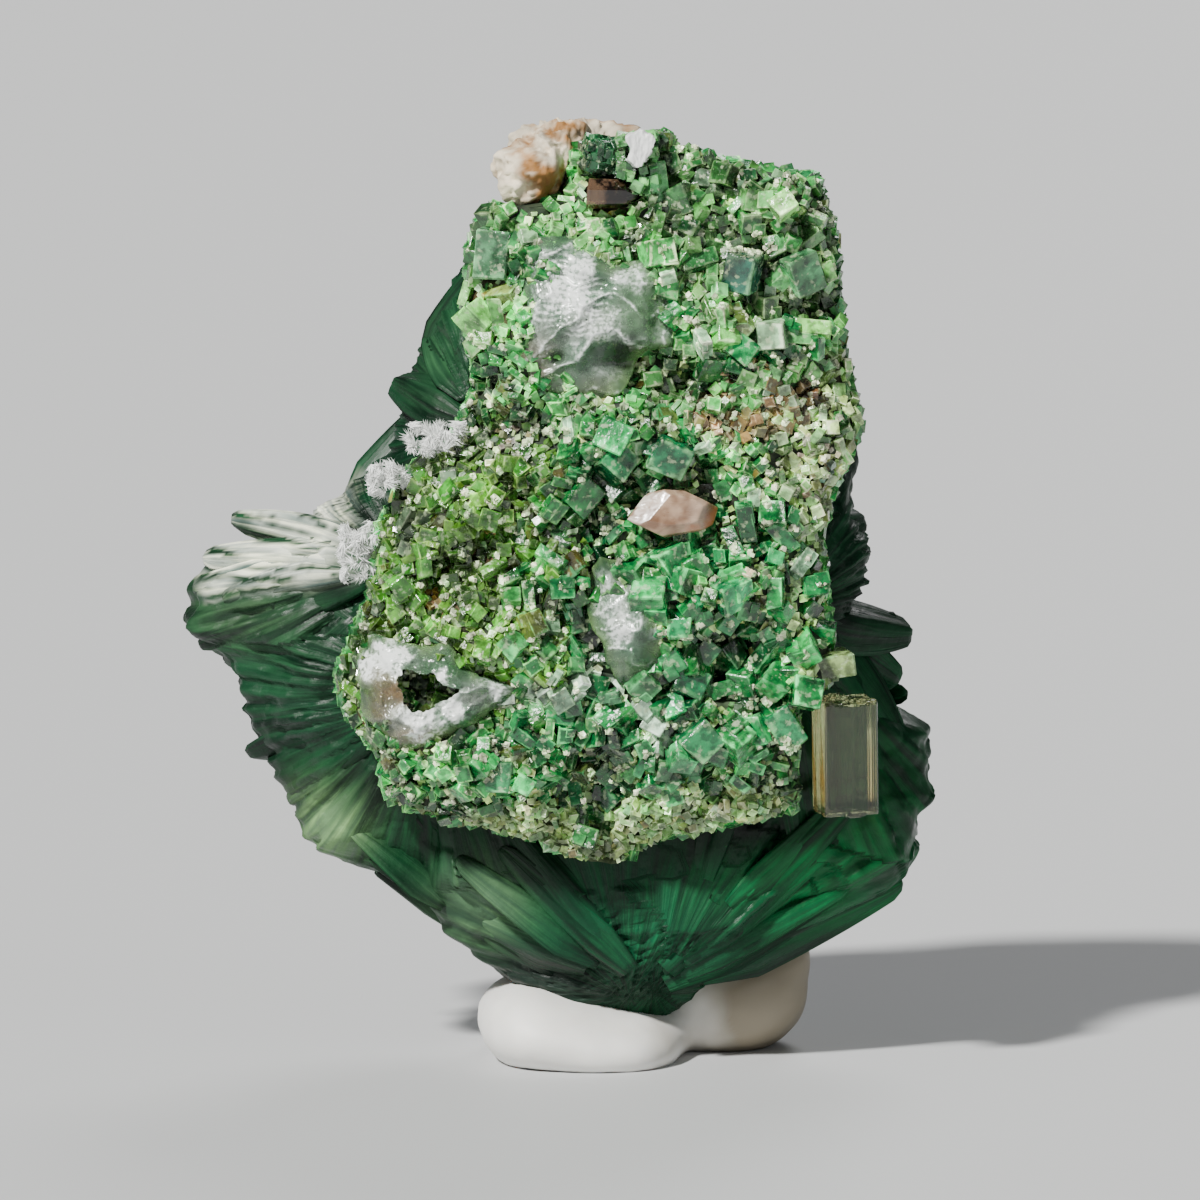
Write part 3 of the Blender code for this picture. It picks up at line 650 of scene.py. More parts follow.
@dataclass(frozen=True)
class ClearFinish:
    """A see-through piece with a stain given by the attribute tone."""

    name: str
    roughness: float
    transmission: float
    ior: float
    streaks: tuple[float, float]
    milk: Colour = (0.9, 0.92, 0.9)
    milk_share: float = 0.0

    def make(self) -> bpy.types.Material:
        """Clear body, milky where the noise is high.

        Returns:
            The material.
        """
        g = Graph(self.name)
        streak = g.noise(g.uv(self.streaks), 1.0, 5.0, 0.6)
        milky = g.math("MULTIPLY", g.span(g.noise(g.place(), 700.0, 5.0), 0.42, 0.68), self.milk_share)
        g.set(Base_Color=g.mix(milky, g.attribute("tone"), self.milk),
              Transmission_Weight=g.span(milky, 0.0, 1.0, self.transmission, self.transmission * 0.35),
              Roughness=g.span(streak, 0.3, 0.7, self.roughness * 0.5, self.roughness * 1.6),
              Normal=g.bump(streak, 0.3, 0.00003))
        g.set(IOR=self.ior, Coat_Weight=0.4, Coat_Roughness=0.08)
        return g.material


@dataclass(frozen=True)
class FilmFinish:
    """A thin film: partly see-through where it is smooth, white where the attribute milk is high: milky
    clouding, and painted highlight on its wrinkles and in its glare patch.
    """

    name: str
    roughness: float = 0.24
    transmission: float = 0.72
    ior: float = 1.3

    def make(self) -> bpy.types.Material:
        """Tinted body, with white and dull crests; the white is painted highlight together with milky
        clouding.

        Returns:
            The material.
        """
        g = Graph(self.name)
        milk = g.add("ShaderNodeAttribute", attribute_name="milk").outputs["Fac"]
        speck = g.noise(g.place(), 2400.0, 4.0)
        crumb = g.noise(g.place(), 7000.0, 3.0)
        milky = g.math("MULTIPLY", milk, g.math("MULTIPLY", g.span(speck, 0.3, 0.6, 0.7, 1.25),
                                                g.span(crumb, 0.35, 0.6, 0.55, 1.2)))
        g.set(Base_Color=g.mix(g.span(milky, 0.1, 0.9), g.attribute("tone"), (0.86, 0.90, 0.87)),
              Transmission_Weight=g.span(milky, 0.0, 0.8, self.transmission, 0.02),
              Roughness=g.span(speck, 0.3, 0.7, self.roughness * 0.6, self.roughness * 1.5),
              Normal=g.bump(speck, 0.4, 0.00004))
        g.set(IOR=self.ior, Coat_Weight=0.5, Coat_Roughness=0.15)
        return g.material


@dataclass(frozen=True)
class StoneFinish:
    """Matt stone, fibre or putty, coloured by the attribute tone with fine mottle."""

    name: str
    roughness: float
    mottle_scale: float
    mottle: float
    bump_depth: float
    subsurface: float = 0.0

    def make(self) -> bpy.types.Material:
        """Mottled colour and a fine bump.

        Returns:
            The material.
        """
        g = Graph(self.name)
        place = g.place()
        spots = g.noise(place, self.mottle_scale, 6.0)
        tone = g.attribute("tone")
        dark = g.mix(1.0, tone, tuple([1.0 - self.mottle] * 3), "MULTIPLY")
        g.set(Base_Color=g.mix(g.span(spots, 0.3, 0.7), dark, tone),
              Roughness=g.span(spots, 0.2, 0.8, self.roughness * 0.8, self.roughness * 1.15),
              Normal=g.bump(g.noise(place, self.mottle_scale * 3.0, 5.0), 0.5, self.bump_depth))
        g.set(Subsurface_Weight=self.subsurface, Subsurface_Radius=(1.0, 0.8, 0.6), Subsurface_Scale=0.0012)
        return g.material


# The slab's face, shared by the crust and the films


def slab_front(x: Array, z: Array, pits: Sequence[tuple[float, ...]] = SLAB_PITS) -> Array:
    """Depth of the slab's bare face: a crown with a steep rim, ripples and pits.

    Args:
        x, z: places on the face.
        pits: round hollows pressed in as the exponential of minus distance to the fourth.

    Returns:
        The y of the face.
    """
    left, right = outline(SLAB_LEFT, z), outline(SLAB_RIGHT, z)
    across = np.clip(np.abs((x - (left + right) / 2) / ((right - left) / 2)), 0.0, 1.0)
    crown = (1.0 - across ** SLAB_SQUARENESS) ** (1.0 / SLAB_SQUARENESS)
    relief = 0.35 * MM * ripples(x, np.zeros_like(x), z, 5.0 * MM, 11)
    for pit_x, pit_z, radius, depth in pits:
        away = ((x - pit_x * MM) ** 2 + (z - pit_z * MM) ** 2) / (radius * MM) ** 2
        relief = relief - depth * MM * np.exp(-away * away)
    return SEAM_Y - (outline(SLAB_DEPTH, z) + relief) * crown


def crust_face(x: Array, z: Array) -> Array:
    """The slab's face with the finer lumps of the crust, which lie between the crystals.

    Args:
        x, z: places on the face.

    Returns:
        The y of the crust.
    """
    place = np.stack([x, np.zeros_like(x), z], -1)
    lumps = 0.78 * MM * lattice_noise(place, 2.6 * MM, 71, 3)
    lumps = lumps + 0.25 * MM * lattice_noise(place, 1.1 * MM, 76, 2)
    gaps = 1.5 * MM * np.clip(lattice_noise(place, 1.5 * MM, 75, 2) - 0.3, 0, 1)
    return slab_front(x, z) - lumps + gaps


def face_normals(x: Array, z: Array) -> Array:
    """Outward directions of the crust's face, from its slopes in x and z.

    Args:
        x, z: places on the face.

    Returns:
        Unit directions, shape (n, 3).
    """
    step = 0.35 * MM
    slope_x = (crust_face(x + step, z) - crust_face(x - step, z)) / (2 * step)
    slope_z = (crust_face(x, z + step) - crust_face(x, z - step)) / (2 * step)
    normal = np.stack([slope_x, -np.ones_like(x), slope_z], -1)
    return normal / np.linalg.norm(normal, axis=-1, keepdims=True)


def inside_outline(points: Sequence[tuple[float, float]], x: Array, z: Array, grow: float = 1.0) -> Array:
    """Whether places lie inside a closed outline, by counting the edges crossed.

    Args:
        points: the outline's corners in millimetres.
        x, z: places in metres.
        grow: scales the outline about its middle first.

    Returns:
        True for each place inside.
    """
    corners = np.array(points) * MM
    corners = corners.mean(axis=0) + (corners - corners.mean(axis=0)) * grow
    hit = np.zeros(x.shape, bool)
    for (ax, az), (bx, bz) in zip(corners, np.roll(corners, -1, axis=0)):
        crosses = (az > z) != (bz > z)
        hit ^= crosses & (x < ax + (z - az) * (bx - ax) / (bz - az if bz != az else 1e-12))
    return hit


def glazed(x: Array, z: Array) -> Array:
    """Share of pale glaze at (x, z): a bell over the distance to the glaze line, broken by noise.

    Args:
        x, z: places on the slab's face.

    Returns:
        Shares from 0 to 1.
    """
    line = np.array(GLAZE_LINE) * MM
    place = np.stack([x, z], -1)[:, None]
    way = line[1:] - line[:-1]
    along = np.clip(((place - line[:-1]) * way).sum(-1) / (way ** 2).sum(-1), 0, 1)
    gap = np.linalg.norm(place - line[:-1] - way * along[..., None], axis=-1).min(axis=1)
    broken = np.clip(lattice_noise(np.stack([x, 0 * x, z], -1), 0.8 * MM, 99) * 2 + 0.75, 0, 1)
    return 0.85 * broken * np.exp(-(gap / (0.42 * MM)) ** 2)


# Crystals


class Zone(Enum):
    """Kinds of crystal on the crust: (deep core, bright core, edge) colours."""

    LARGE = ((0.001, 0.06, 0.015), (0.014, 0.37, 0.085), (0.12, 0.62, 0.19))
    MIDDLE = ((0.004, 0.09, 0.02), (0.05, 0.43, 0.085), (0.28, 0.74, 0.21))
    FINE = ((0.03, 0.15, 0.012), (0.16, 0.48, 0.05), (0.44, 0.74, 0.17))
    RIM = ((0.17, 0.38, 0.09), (0.56, 0.82, 0.32), (0.86, 0.97, 0.60))
    TOP = ((0.025, 0.27, 0.05), (0.24, 0.70, 0.18), (0.60, 0.93, 0.40))
    IRON = ((0.16, 0.10, 0.015), (0.55, 0.40, 0.07), (0.80, 0.68, 0.26))
    TAN = ((0.12, 0.11, 0.03), (0.36, 0.25, 0.11), (0.60, 0.48, 0.28))
    CREAM = ((0.40, 0.46, 0.26), (0.76, 0.74, 0.50), (0.92, 0.92, 0.80))


@dataclass(frozen=True)
class Patch:
    """An oval of the crust that is filled with one kind of crystal, in millimetres."""

    zone: Zone
    x: float
    z: float
    half_x: float
    half_z: float
    smallest: float
    largest: float
    tries: int
    overlap: float = 0.34


PATCHES = [
    Patch(Zone.TOP, 5.8, 33.4, 4.0, 4.0, 0.7, 1.15, 60),
    Patch(Zone.LARGE, 5.6, 30.6, 3.4, 1.6, 0.6, 1.1, 60),
    Patch(Zone.TOP, -4.6, 32.6, 1.2, 3.0, 0.7, 1.2, 60),
    Patch(Zone.LARGE, 4.4, 19.0, 4.6, 5.6, 0.85, 1.35, 80),
    Patch(Zone.LARGE, 1.6, 25.2, 3.0, 1.8, 0.8, 1.4, 50),
    Patch(Zone.IRON, -4.8, 30.8, 0.8, 1.3, 0.3, 0.6, 40),
    Patch(Zone.IRON, -4.4, 22.7, 0.4, 0.5, 0.2, 0.4, 8),
    Patch(Zone.IRON, -6.7, 19.8, 0.4, 0.4, 0.2, 0.4, 7),
    Patch(Zone.CREAM, 2.9, 25.6, 0.7, 0.6, 0.2, 0.45, 30),
    Patch(Zone.CREAM, -3.6, 26.2, 0.8, 0.5, 0.2, 0.4, 30),
    Patch(Zone.CREAM, 5.6, 20.9, 0.5, 0.5, 0.3, 0.9, 3),
    Patch(Zone.LARGE, 3.6, 18.4, 5.4, 6.4, 0.55, 0.9, 500),
    Patch(Zone.LARGE, 0.0, 13.6, 5.0, 2.2, 0.5, 0.95, 200),
    Patch(Zone.MIDDLE, -0.6, 18.4, 3.0, 8.4, 0.5, 0.9, 380),
    Patch(Zone.FINE, -5.2, 21.0, 4.4, 5.6, 0.5, 0.8, 200),
    Patch(Zone.FINE, -5.2, 21.0, 4.4, 5.6, 0.3, 0.52, 3000),
    Patch(Zone.TOP, 4.4, 32.6, 6.0, 5.2, 0.34, 0.66, 1800),
    Patch(Zone.TAN, 6.0, 27.9, 2.8, 1.7, 0.3, 0.55, 260),
    Patch(Zone.RIM, 8.6, 26.4, 1.6, 4.0, 0.3, 0.6, 700),
    Patch(Zone.RIM, 8.6, 19.2, 1.0, 4.6, 0.26, 0.5, 700),
    Patch(Zone.MIDDLE, -5.0, 14.0, 4.0, 2.6, 0.4, 0.75, 500),
    Patch(Zone.RIM, 1.6, 10.8, 6.8, 1.8, 0.2, 0.42, 5200, 0.3),
    Patch(Zone.CREAM, 0.3, 24.2, 0.9, 0.6, 0.14, 0.3, 60, 0.3),
    Patch(Zone.CREAM, 8.8, 25.0, 0.9, 2.0, 0.16, 0.36, 120, 0.3),
    Patch(Zone.CREAM, 8.9, 15.6, 0.8, 1.2, 0.16, 0.36, 90, 0.3),
    Patch(Zone.FINE, -9.0, 17.5, 2.4, 4.5, 0.34, 0.6, 500),
    Patch(Zone.TOP, 2.0, 35.6, 9.0, 3.0, 0.34, 0.66, 900),
    Patch(Zone.MIDDLE, 0.4, 23.4, 14.5, 19.5, 0.34, 0.66, 9600),
    Patch(Zone.TOP, 1.0, 33.6, 13.0, 6.4, 0.2, 0.38, 7600, 0.31),
    Patch(Zone.TAN, 6.0, 27.9, 2.8, 1.7, 0.18, 0.32, 500, 0.3),
    Patch(Zone.FINE, -5.2, 21.0, 5.0, 6.6, 0.2, 0.34, 4000, 0.31),
    Patch(Zone.RIM, 0.4, 23.4, 14.5, 19.5, 0.16, 0.34, 21000, 0.3),
]


def box_template(chamfer: float) -> Surface:
    """A cube from -1 to 1 with cut edges and corners, as 6 large, 12 thin and 8 small faces.

    Args:
        chamfer: how much of the half edge the cut takes.

    Returns:
        The cube, with each large face on the whole UV square and the cuts on its corner.
    """
    near = 1.0 - chamfer
    signs = np.array([(a, b, c) for a in (-1, 1) for b in (-1, 1) for c in (-1, 1)], float)
    points = np.concatenate([np.where(np.arange(3) == axis, signs, signs * near) for axis in range(3)])
    quads, tris, quad_uv = [], [], []
    for way in np.array([w for w in np.ndindex(3, 3, 3)]) - 1:
        kind = np.abs(way).sum()
        if kind == 0:
            continue
        chosen = np.flatnonzero(np.isclose(points @ way, (points @ way).max()))
        side = np.cross(way, (0.3, 0.5, 0.8))
        other = np.cross(way, side)
        spread = points[chosen] - points[chosen].mean(axis=0)
        chosen = chosen[np.argsort(np.arctan2(spread @ other, spread @ side))]
        if kind == 3:
            tris.append(chosen)
            continue
        quads.append(chosen)
        if kind == 1:
            flat = [axis for axis in range(3) if way[axis] == 0]
            quad_uv.append((points[chosen][:, flat] / near + 1) / 2)
        else:
            quad_uv.append(np.zeros((4, 2)))
    uv = np.concatenate([np.concatenate(quad_uv), np.zeros((3 * len(tris), 2))])
    return Surface(points, [np.array(quads), np.array(tris)], uv, {})


def cube_template() -> Surface:
    """A plain cube from -1 to 1, for the grains, with each face on the whole UV square.

    Returns:
        The cube.
    """
    points = np.array([(a, b, c) for a in (-1, 1) for b in (-1, 1) for c in (-1, 1)], float)
    quads, uv = [], []
    for axis in range(3):
        for sign in (-1, 1):
            chosen = np.flatnonzero(points[:, axis] == sign)
            first, second = (axis + 1) % 3, (axis + 2) % 3
            turn = np.arctan2(points[chosen, second], points[chosen, first]) * sign
            chosen = chosen[np.argsort(turn)]
            quads.append(chosen)
            uv.append((points[chosen][:, [first, second]] + 1) / 2)
    return Surface(points, [np.array(quads)], np.concatenate(uv), {})


def place_boxes(template: Surface, centres: Array, sizes: Array, turns: Array, core: Array, edge: Array,
                uneven: float = 0.05) -> Surface:
    """Copy the box template to many places at once, each a little out of true.

    Args:
        template: the box from -1 to 1.
        centres: middles, shape (n, 3).
        sizes: edge lengths, shape (n, 3).
        turns: rotation matrices, shape (n, 3, 3).
        core: colour inside each face, shape (n, 3).
        edge: colour at the edges, shape (n, 3).
        uneven: how far the corners stray, in half edges.

    Returns:
        All boxes as one surface.
    """
    count, corners = len(centres), len(template.points)
    corner_number = (template.points > 0) @ np.array((4, 2, 1))
    stray = np.random.default_rng(count).normal(0, uneven, (count, 8, 3))[:, corner_number]
    local = (template.points[None] + stray) * sizes[:, None] / 2
    points = centres[:, None] + np.einsum("nij,nkj->nki", turns, local)
    shift = (np.arange(count) * corners)[:, None, None]
    faces = [(face[None] + shift).reshape(-1, face.shape[1]) for face in template.faces]
    uv, start = [], 0
    pick = np.random.default_rng(count + 1)
    for face in template.faces:
        square = template.uv[start:start + face.size].reshape(1, *face.shape, 2) * 0.96 + 0.02
        square = np.repeat(square, count, axis=0)
        # A random whole number per face, added to u: the crystal finish makes it the face's painted
        # lightness.
        square[..., 0] += pick.integers(0, 5, (count, len(face), 1))
        uv.append(square.reshape(-1, 2))
        start += face.size
    colours = {"core": np.repeat(core, corners, axis=0), "edge": np.repeat(edge, corners, axis=0)}
    return Surface(points.reshape(-1, 3), faces, np.concatenate(uv), colours)


@dataclass
class CrystalCrust:
    """The slab's ground and the crystals that grow on it."""

    ground_columns: int = 220
    ground_rows: int = 220
    back_share: float = 0.25
    chamfer: float = 0.08
    seed: int = 5
    dusted: float = 0.34
    shapes: tuple[Colour, ...] = ((1.0, 0.95, 1.0), (0.6, 0.7, 1.45), (1.15, 0.5, 1.0), (0.85, 0.85, 0.85))

    def ground(self) -> Surface:
        """Level sections with a crowned, lumpy front and a rough back, closed at both ends.

        Returns:
            The slab without crystals.
        """
        share = np.linspace(0.0, 1.0, self.ground_rows)
        z = SLAB_LEFT[0][0] * MM + (SLAB_LEFT[-1][0] - SLAB_LEFT[0][0]) * MM * share
        left, right = outline(SLAB_LEFT, z), outline(SLAB_RIGHT, z)
        front = int(self.ground_columns * (1 - self.back_share))
        turn = -np.cos(np.linspace(0, math.pi, front))
        x = (left + right)[:, None] / 2 + (right - left)[:, None] / 2 * turn
        heights = np.repeat(z[:, None], front, axis=1)
        face = np.stack([x, np.minimum(crust_face(x, heights), SEAM_Y), heights], -1)
        way = np.linspace(1.0, 0.0, self.ground_columns - front + 2)[1:-1]
        x = left[:, None] + (right - left)[:, None] * way
        heights = np.repeat(z[:, None], len(way), axis=1)
        back = np.stack([x, np.full_like(x, SEAM_Y + 0.25 * MM), heights], -1)
        back[..., 1] += 0.12 * MM * lattice_noise(back, 1.2 * MM, 72)
        surface = tube_surface(np.concatenate([face, back], axis=1))
        surface.colours["tone"] = self.ground_tone(surface.points)
        return surface

    def ground_tone(self, points: Array) -> Array:
        """Green ground, browner at the left and in the stained places.

        Args:
            points: the ground's points.

        Returns:
            A colour for each.
        """
        x, z = points[:, 0] / MM, points[:, 2] / MM
        tone = mix_colours((0.002, 0.016, 0.005), (0.012, 0.05, 0.012),
                           lattice_noise(points, 1.1 * MM, 73) * 0.8 + 0.5)
        stains = [(-4.4, 22.4, 1.2, 1.6), (-6.8, 19.4, 1.3, 1.3), (-8.6, 14.4, 1.6, 0.8),
                  (6.4, 28.2, 2.4, 1.5), (-4.7, 30.8, 0.9, 1.4), (3.7, 22.9, 1.2, 0.8)]
        tone = spotted(tone, x, z, [((0.22, 0.075, 0.012), *oval) for oval in stains])
        rim = np.clip((12.2 - z) / 2.0, 0, 1) * 0.6
        return tone * (1 - rim[:, None]) + np.array((0.20, 0.25, 0.09)) * rim[:, None]

    def bare(self, x: Array, z: Array, margin: Array) -> Array:
        """Places kept free by the pink grain, the smoky crystal, the cap stone and the flake.

        Args:
            x, z: places.
            margin: free width added round each oval.

        Returns:
            True where no crystal may stand.
        """
        hit = np.zeros(x.shape, bool)
        for at_x, at_z, half_x, half_z in KEPT_FREE:
            across = (x - at_x * MM) / (half_x * MM + margin)
            along = (z - at_z * MM) / (half_z * MM + margin)
            hit |= across ** 2 + along ** 2 < 1.0
        return hit

    def scatter(self, patch: Patch, placed: list[Array], pick: np.random.Generator) -> Array:
        """Throw crystals into a patch, keeping those that are clear of the earlier ones.

        Args:
            patch: the oval and its crystal sizes.
            placed: rows of (x, z, size) so far, which this extends.
            pick: the random numbers.

        Returns:
            The kept rows of (x, z, size).
        """
        angle, reach = pick.uniform(0, math.tau, patch.tries), np.sqrt(pick.uniform(0, 1, patch.tries))
        x = (patch.x + patch.half_x * reach * np.cos(angle)) * MM
        z = (patch.z + patch.half_z * reach * np.sin(angle)) * MM
        size = pick.uniform(patch.smallest, patch.largest, patch.tries) * MM
        on = (x > outline(SLAB_LEFT, z) + 0.2 * size) & (x < outline(SLAB_RIGHT, z) - 0.2 * size)
        on &= (z > 9.0 * MM) & (z < 37.8 * MM) & ~self.bare(x, z, 0.35 * size)
        under_film = inside_outline(UPPER_FILM, x, z, 0.95) | inside_outline(MIDDLE_FILM, x, z, 0.9)
        on &= ~(under_film & (size > 0.6 * MM))
        rows = np.stack([x, z, size], -1)[on]
        kept = []
        for row in rows:
            far = True
            for block in placed + ([np.array(kept)] if kept else []):
                away = (block[:, 0] - row[0]) ** 2 + (block[:, 1] - row[1]) ** 2
                if (away < (patch.overlap * (block[:, 2] + row[2])) ** 2).any():
                    far = False
                    break
            if far:
                kept.append(row)
        made = np.array(kept) if kept else np.zeros((0, 3))
        placed.append(made)
        return made

    def crystals(self) -> tuple[Surface, Surface]:
        """All crystals: the patches in order, large before small, and the ones set one by one.

        Returns:
            The crystals of 0.5 mm and more, and the finer grains.
        """
        pick = np.random.default_rng(self.seed)
        placed: list[Array] = [np.array([(c[0], c[2], 0.8 * max(c[3], c[5])) for c in LARGE_CRYSTALS]) * MM]
        template, cube = box_template(self.chamfer), cube_template()
        coarse, fine = [self.set_crystals(template)], []
        for patch in PATCHES:
            rows = self.scatter(patch, placed, pick)
            LOG.info("%s patch: %d crystals", patch.zone.name.lower(), len(rows))
            if not len(rows):
                continue
            grown = self.grow(patch, rows, pick)
            if patch.largest > 0.5:
                coarse.append(place_boxes(template, *grown, uneven=0.08))
                fine.append(place_boxes(cube, *self.sugar(*grown[:3], pick), uneven=0.14))
            else:
                fine.append(place_boxes(cube, *grown, uneven=0.12))
        fine.append(place_boxes(cube, *self.side_crystals(pick), uneven=0.1))
        return join_surfaces(coarse), join_surfaces(fine)

    def side_crystals(self, pick: np.random.Generator, count: int = 1500) -> tuple[Array, ...]:
        """Small crystals on the slab's left, right and top sides, in front of the seam.

        Args:
            pick: the random numbers.
            count: number of crystals.

        Returns:
            Middles, edge lengths, turns, core and edge colours.
        """
        z = pick.uniform(9.2, 37.6, count) * MM
        way = pick.choice([-1.0, 1.0], count)
        size = pick.uniform(0.3, 0.62, count) * MM
        left, right = outline(SLAB_LEFT, z), outline(SLAB_RIGHT, z)
        x = np.where(way < 0, left, right) - way * 0.15 * size
        top = np.arange(count) < count // 4
        z = np.where(top, SLAB_LEFT[-1][0] * MM - 0.1 * size, z)
        left, right = outline(SLAB_LEFT, z), outline(SLAB_RIGHT, z)
        x = np.where(top, left + (right - left) * pick.uniform(0.05, 0.95, count), x)
        front = np.minimum(crust_face(x, z), SEAM_Y - 0.3 * MM)
        y = front + (SEAM_Y - front) * pick.uniform(0, 0.95, count)
        keep = ~(top & self.bare(x, z, 0.5 * size))
        normal = np.where(top[:, None], (0.0, -0.4, 1.0), np.stack([way, -0.4 + 0 * way, 0 * way], -1))
        turns = axes_matrices(normal + pick.normal(0, 0.4, (count, 3)), pick.normal(0, 1, (count, 3)))
        core, edge = self.tints(Zone.MIDDLE, count, pick)
        sizes = size[:, None] * pick.uniform(0.7, 1.15, (count, 3))
        return tuple(part[keep] for part in (np.stack([x, y, z], -1), sizes, turns, core, edge))

    def grow(self, patch: Patch, rows: Array, pick: np.random.Generator) -> tuple[Array, ...]:
        """Sizes, turns and colours of a patch's crystals, the larger ones with parallel growths.

        Args:
            patch: the kind of crystal.
            rows: (x, z, size) of each.
            pick: the random numbers.

        Returns:
            Middles, edge lengths, turns, core and edge colours.
        """
        x, z, size = rows.T
        count = len(rows)
        normal = face_normals(x, z)
        up = np.stack([pick.normal(0, 1, count), np.zeros(count), pick.normal(0, 1, count)], -1)
        turns = axes_matrices(normal + pick.normal(0, 0.42, (count, 3)), up)
        shape = pick.choice(len(self.shapes), count, p=(0.4, 0.26, 0.2, 0.14))
        sizes = size[:, None] * np.array(self.shapes)[shape] * pick.uniform(0.9, 1.1, (count, 3))
        middle = np.stack([x, crust_face(x, z), z], -1)
        middle += normal * (size * pick.uniform(-0.1, 0.42, count))[:, None]
        middle[:, 1] = np.clip(middle[:, 1], FRONT_LIMIT + 0.72 * size, SEAM_Y - 0.5 * size)
        core, edge = self.tints(patch.zone, count, pick)
        # Painted light and shade: crystals set deep in the crust are darkened and those standing out from it
        # are lightened; the rim's pale grains are darkened least.
        height = (slab_front(x, z) - middle[:, 1]) / (0.7 * MM)
        least = 0.8 if patch.zone is Zone.RIM else 0.25
        shade = np.clip(0.72 + 0.75 * height, least, 1.5)[:, None]
        glaze = glazed(x, z)[:, None]
        core = np.clip(core * shade * (1 - glaze) + np.array((0.46, 0.64, 0.47)) * glaze, 0, 1)
        edge = np.clip(edge * shade * (1 - glaze) + np.array((0.74, 0.84, 0.74)) * glaze, 0, 1)
        if patch.largest < 0.8:
            return middle, sizes, turns, core, edge
        parts = [(middle, sizes, turns, core, edge)]
        for _ in range(2):
            some = pick.uniform(0, 1, count) < 0.6
            corner = pick.choice([-1.0, 1.0], (count, 3)) * pick.uniform(0.2, 0.34, (count, 3))
            away = np.einsum("nij,nj->ni", turns, corner * sizes)
            share = pick.uniform(0.4, 0.66, (count, 1))
            placed = middle + away
            placed[:, 1] = np.clip(placed[:, 1], FRONT_LIMIT + 0.5 * size, SEAM_Y - 0.4 * size)
            parts.append((placed[some], (sizes * share)[some], turns[some], core[some],
                          (edge * pick.uniform(0.8, 1.1, (count, 1)))[some]))
        return tuple(np.concatenate(group) for group in zip(*parts))

    def sugar(self, centres: Array, sizes: Array, turns: Array, pick: np.random.Generator,
              number: int = 9) -> tuple[Array, ...]:
        """Clusters of tiny pale grains on the front faces of some crystals.

        Args:
            centres, sizes, turns: the crystals.
            pick: the random numbers.
            number: grains in a cluster.

        Returns:
            Middles, edge lengths, turns, core and edge colours.
        """
        chosen = np.flatnonzero(pick.uniform(0, 1, len(centres)) < self.dusted)
        spot = np.repeat(pick.uniform(-0.45, 0.45, (len(chosen), 3)), number, axis=0)
        axis = np.repeat(pick.integers(0, 3, len(chosen)), number)
        chosen = np.repeat(chosen, number)
        count = len(chosen)
        local = np.clip(spot + pick.normal(0, 0.14, (count, 3)), -0.5, 0.5)
        local[np.arange(count), axis] = -0.5 * np.sign(turns[chosen, 1, axis])
        placed = centres[chosen] + np.einsum("nij,nj->ni", turns[chosen], local * sizes[chosen])
        placed[:, 1] = np.maximum(placed[:, 1], FRONT_LIMIT + 0.2 * MM)
        edges = pick.uniform(0.07, 0.2, (count, 1)) * MM * pick.uniform(0.7, 1.2, (count, 3))
        core = mix_colours((0.30, 0.56, 0.22), (0.92, 0.92, 0.66), pick.uniform(0, 1, count))
        return placed, edges, turn_matrices(pick.uniform(0, math.pi, (count, 3))), core, core * 0.9 + 0.09

    def tints(self, zone: Zone, count: int, pick: np.random.Generator) -> tuple[Array, Array]:
        """Core and edge colours of a zone's crystals, each with its own lightness.

        Args:
            zone: the kind of crystal.
            count: how many.
            pick: the random numbers.

        Returns:
            Core colours and edge colours, shape (count, 3) each.
        """
        deep, bright, edge = zone.value
        core = mix_colours(deep, bright, pick.beta(1.4, 1.6, count))
        core *= 1 + pick.normal(0, 0.14, (count, 3)) * (1.4, 0.5, 1.0)
        rim = np.array(edge) * pick.uniform(0.75, 1.2, (count, 1))
        plain = pick.uniform(0, 1, (count, 1)) * 0.85
        rim = rim * (1 - plain) + core * plain
        stained = pick.uniform(0, 1, count) < 0.025
        core[stained] = core[stained] * 0.5 + np.array((0.24, 0.11, 0.02)) * 0.5
        pale = pick.uniform(0, 1, count) < 0.035
        core[pale] = core[pale] * 0.5 + np.array((0.34, 0.46, 0.34)) * 0.6
        rim[pale] = rim[pale] * 0.4 + np.array((0.60, 0.70, 0.56)) * 0.6
        return np.clip(core, 0, 1), np.clip(rim, 0, 1)

    def set_crystals(self, template: Surface) -> Surface:
        """The large crystals that are placed one by one.

        Args:
            template: the box to copy.

        Returns:
            Their surface.
        """
        rows = np.array(LARGE_CRYSTALS)
        core = np.array([(0.08, 0.34, 0.13), (0.01, 0.10, 0.06), (0.004, 0.045, 0.016), (0.09, 0.32, 0.11),
                         (0.10, 0.32, 0.14), (0.20, 0.30, 0.10), (0.004, 0.10, 0.035), (0.008, 0.15, 0.045),
                         (0.003, 0.12, 0.035), (0.02, 0.18, 0.06), (0.01, 0.22, 0.07)])
        edge = core * 0.7 + np.array((0.10, 0.22, 0.09))
        edge[DARK_BLOCK] = (0.02, 0.09, 0.03)
        rows[:, 3:6] *= 0.9
        rows[:3, 3:6] *= np.array([(0.72, 0.95, 0.78), (0.76, 1.1, 0.7), (0.8, 0.8, 0.74)])
        rows[DARK_BLOCK, 2] -= 0.3
        turns = turn_matrices(np.radians(rows[:, 6:]))
        places, sizes = rows[:, :3] * MM, rows[:, 3:6] * MM
        pick = np.random.default_rng(41)
        grains = [place_boxes(cube_template(), *self.sugar(places, sizes, turns, pick, 26), uneven=0.14)
                  for _ in range(3)]
        singles = place_boxes(template, places, sizes, turns, core, edge)
        dark = ((0.002, 0.025, 0.008), (0.012, 0.11, 0.035))
        green = ((0.01, 0.12, 0.03), (0.20, 0.58, 0.16))
        on_block = self.growths(template, rows[DARK_BLOCK], turns[DARK_BLOCK], 150, dark)
        on_bed = self.growths(template, np.array(FLAKE_BED), np.eye(3), 130, green)
        return join_surfaces([singles, on_block, on_bed, *grains])

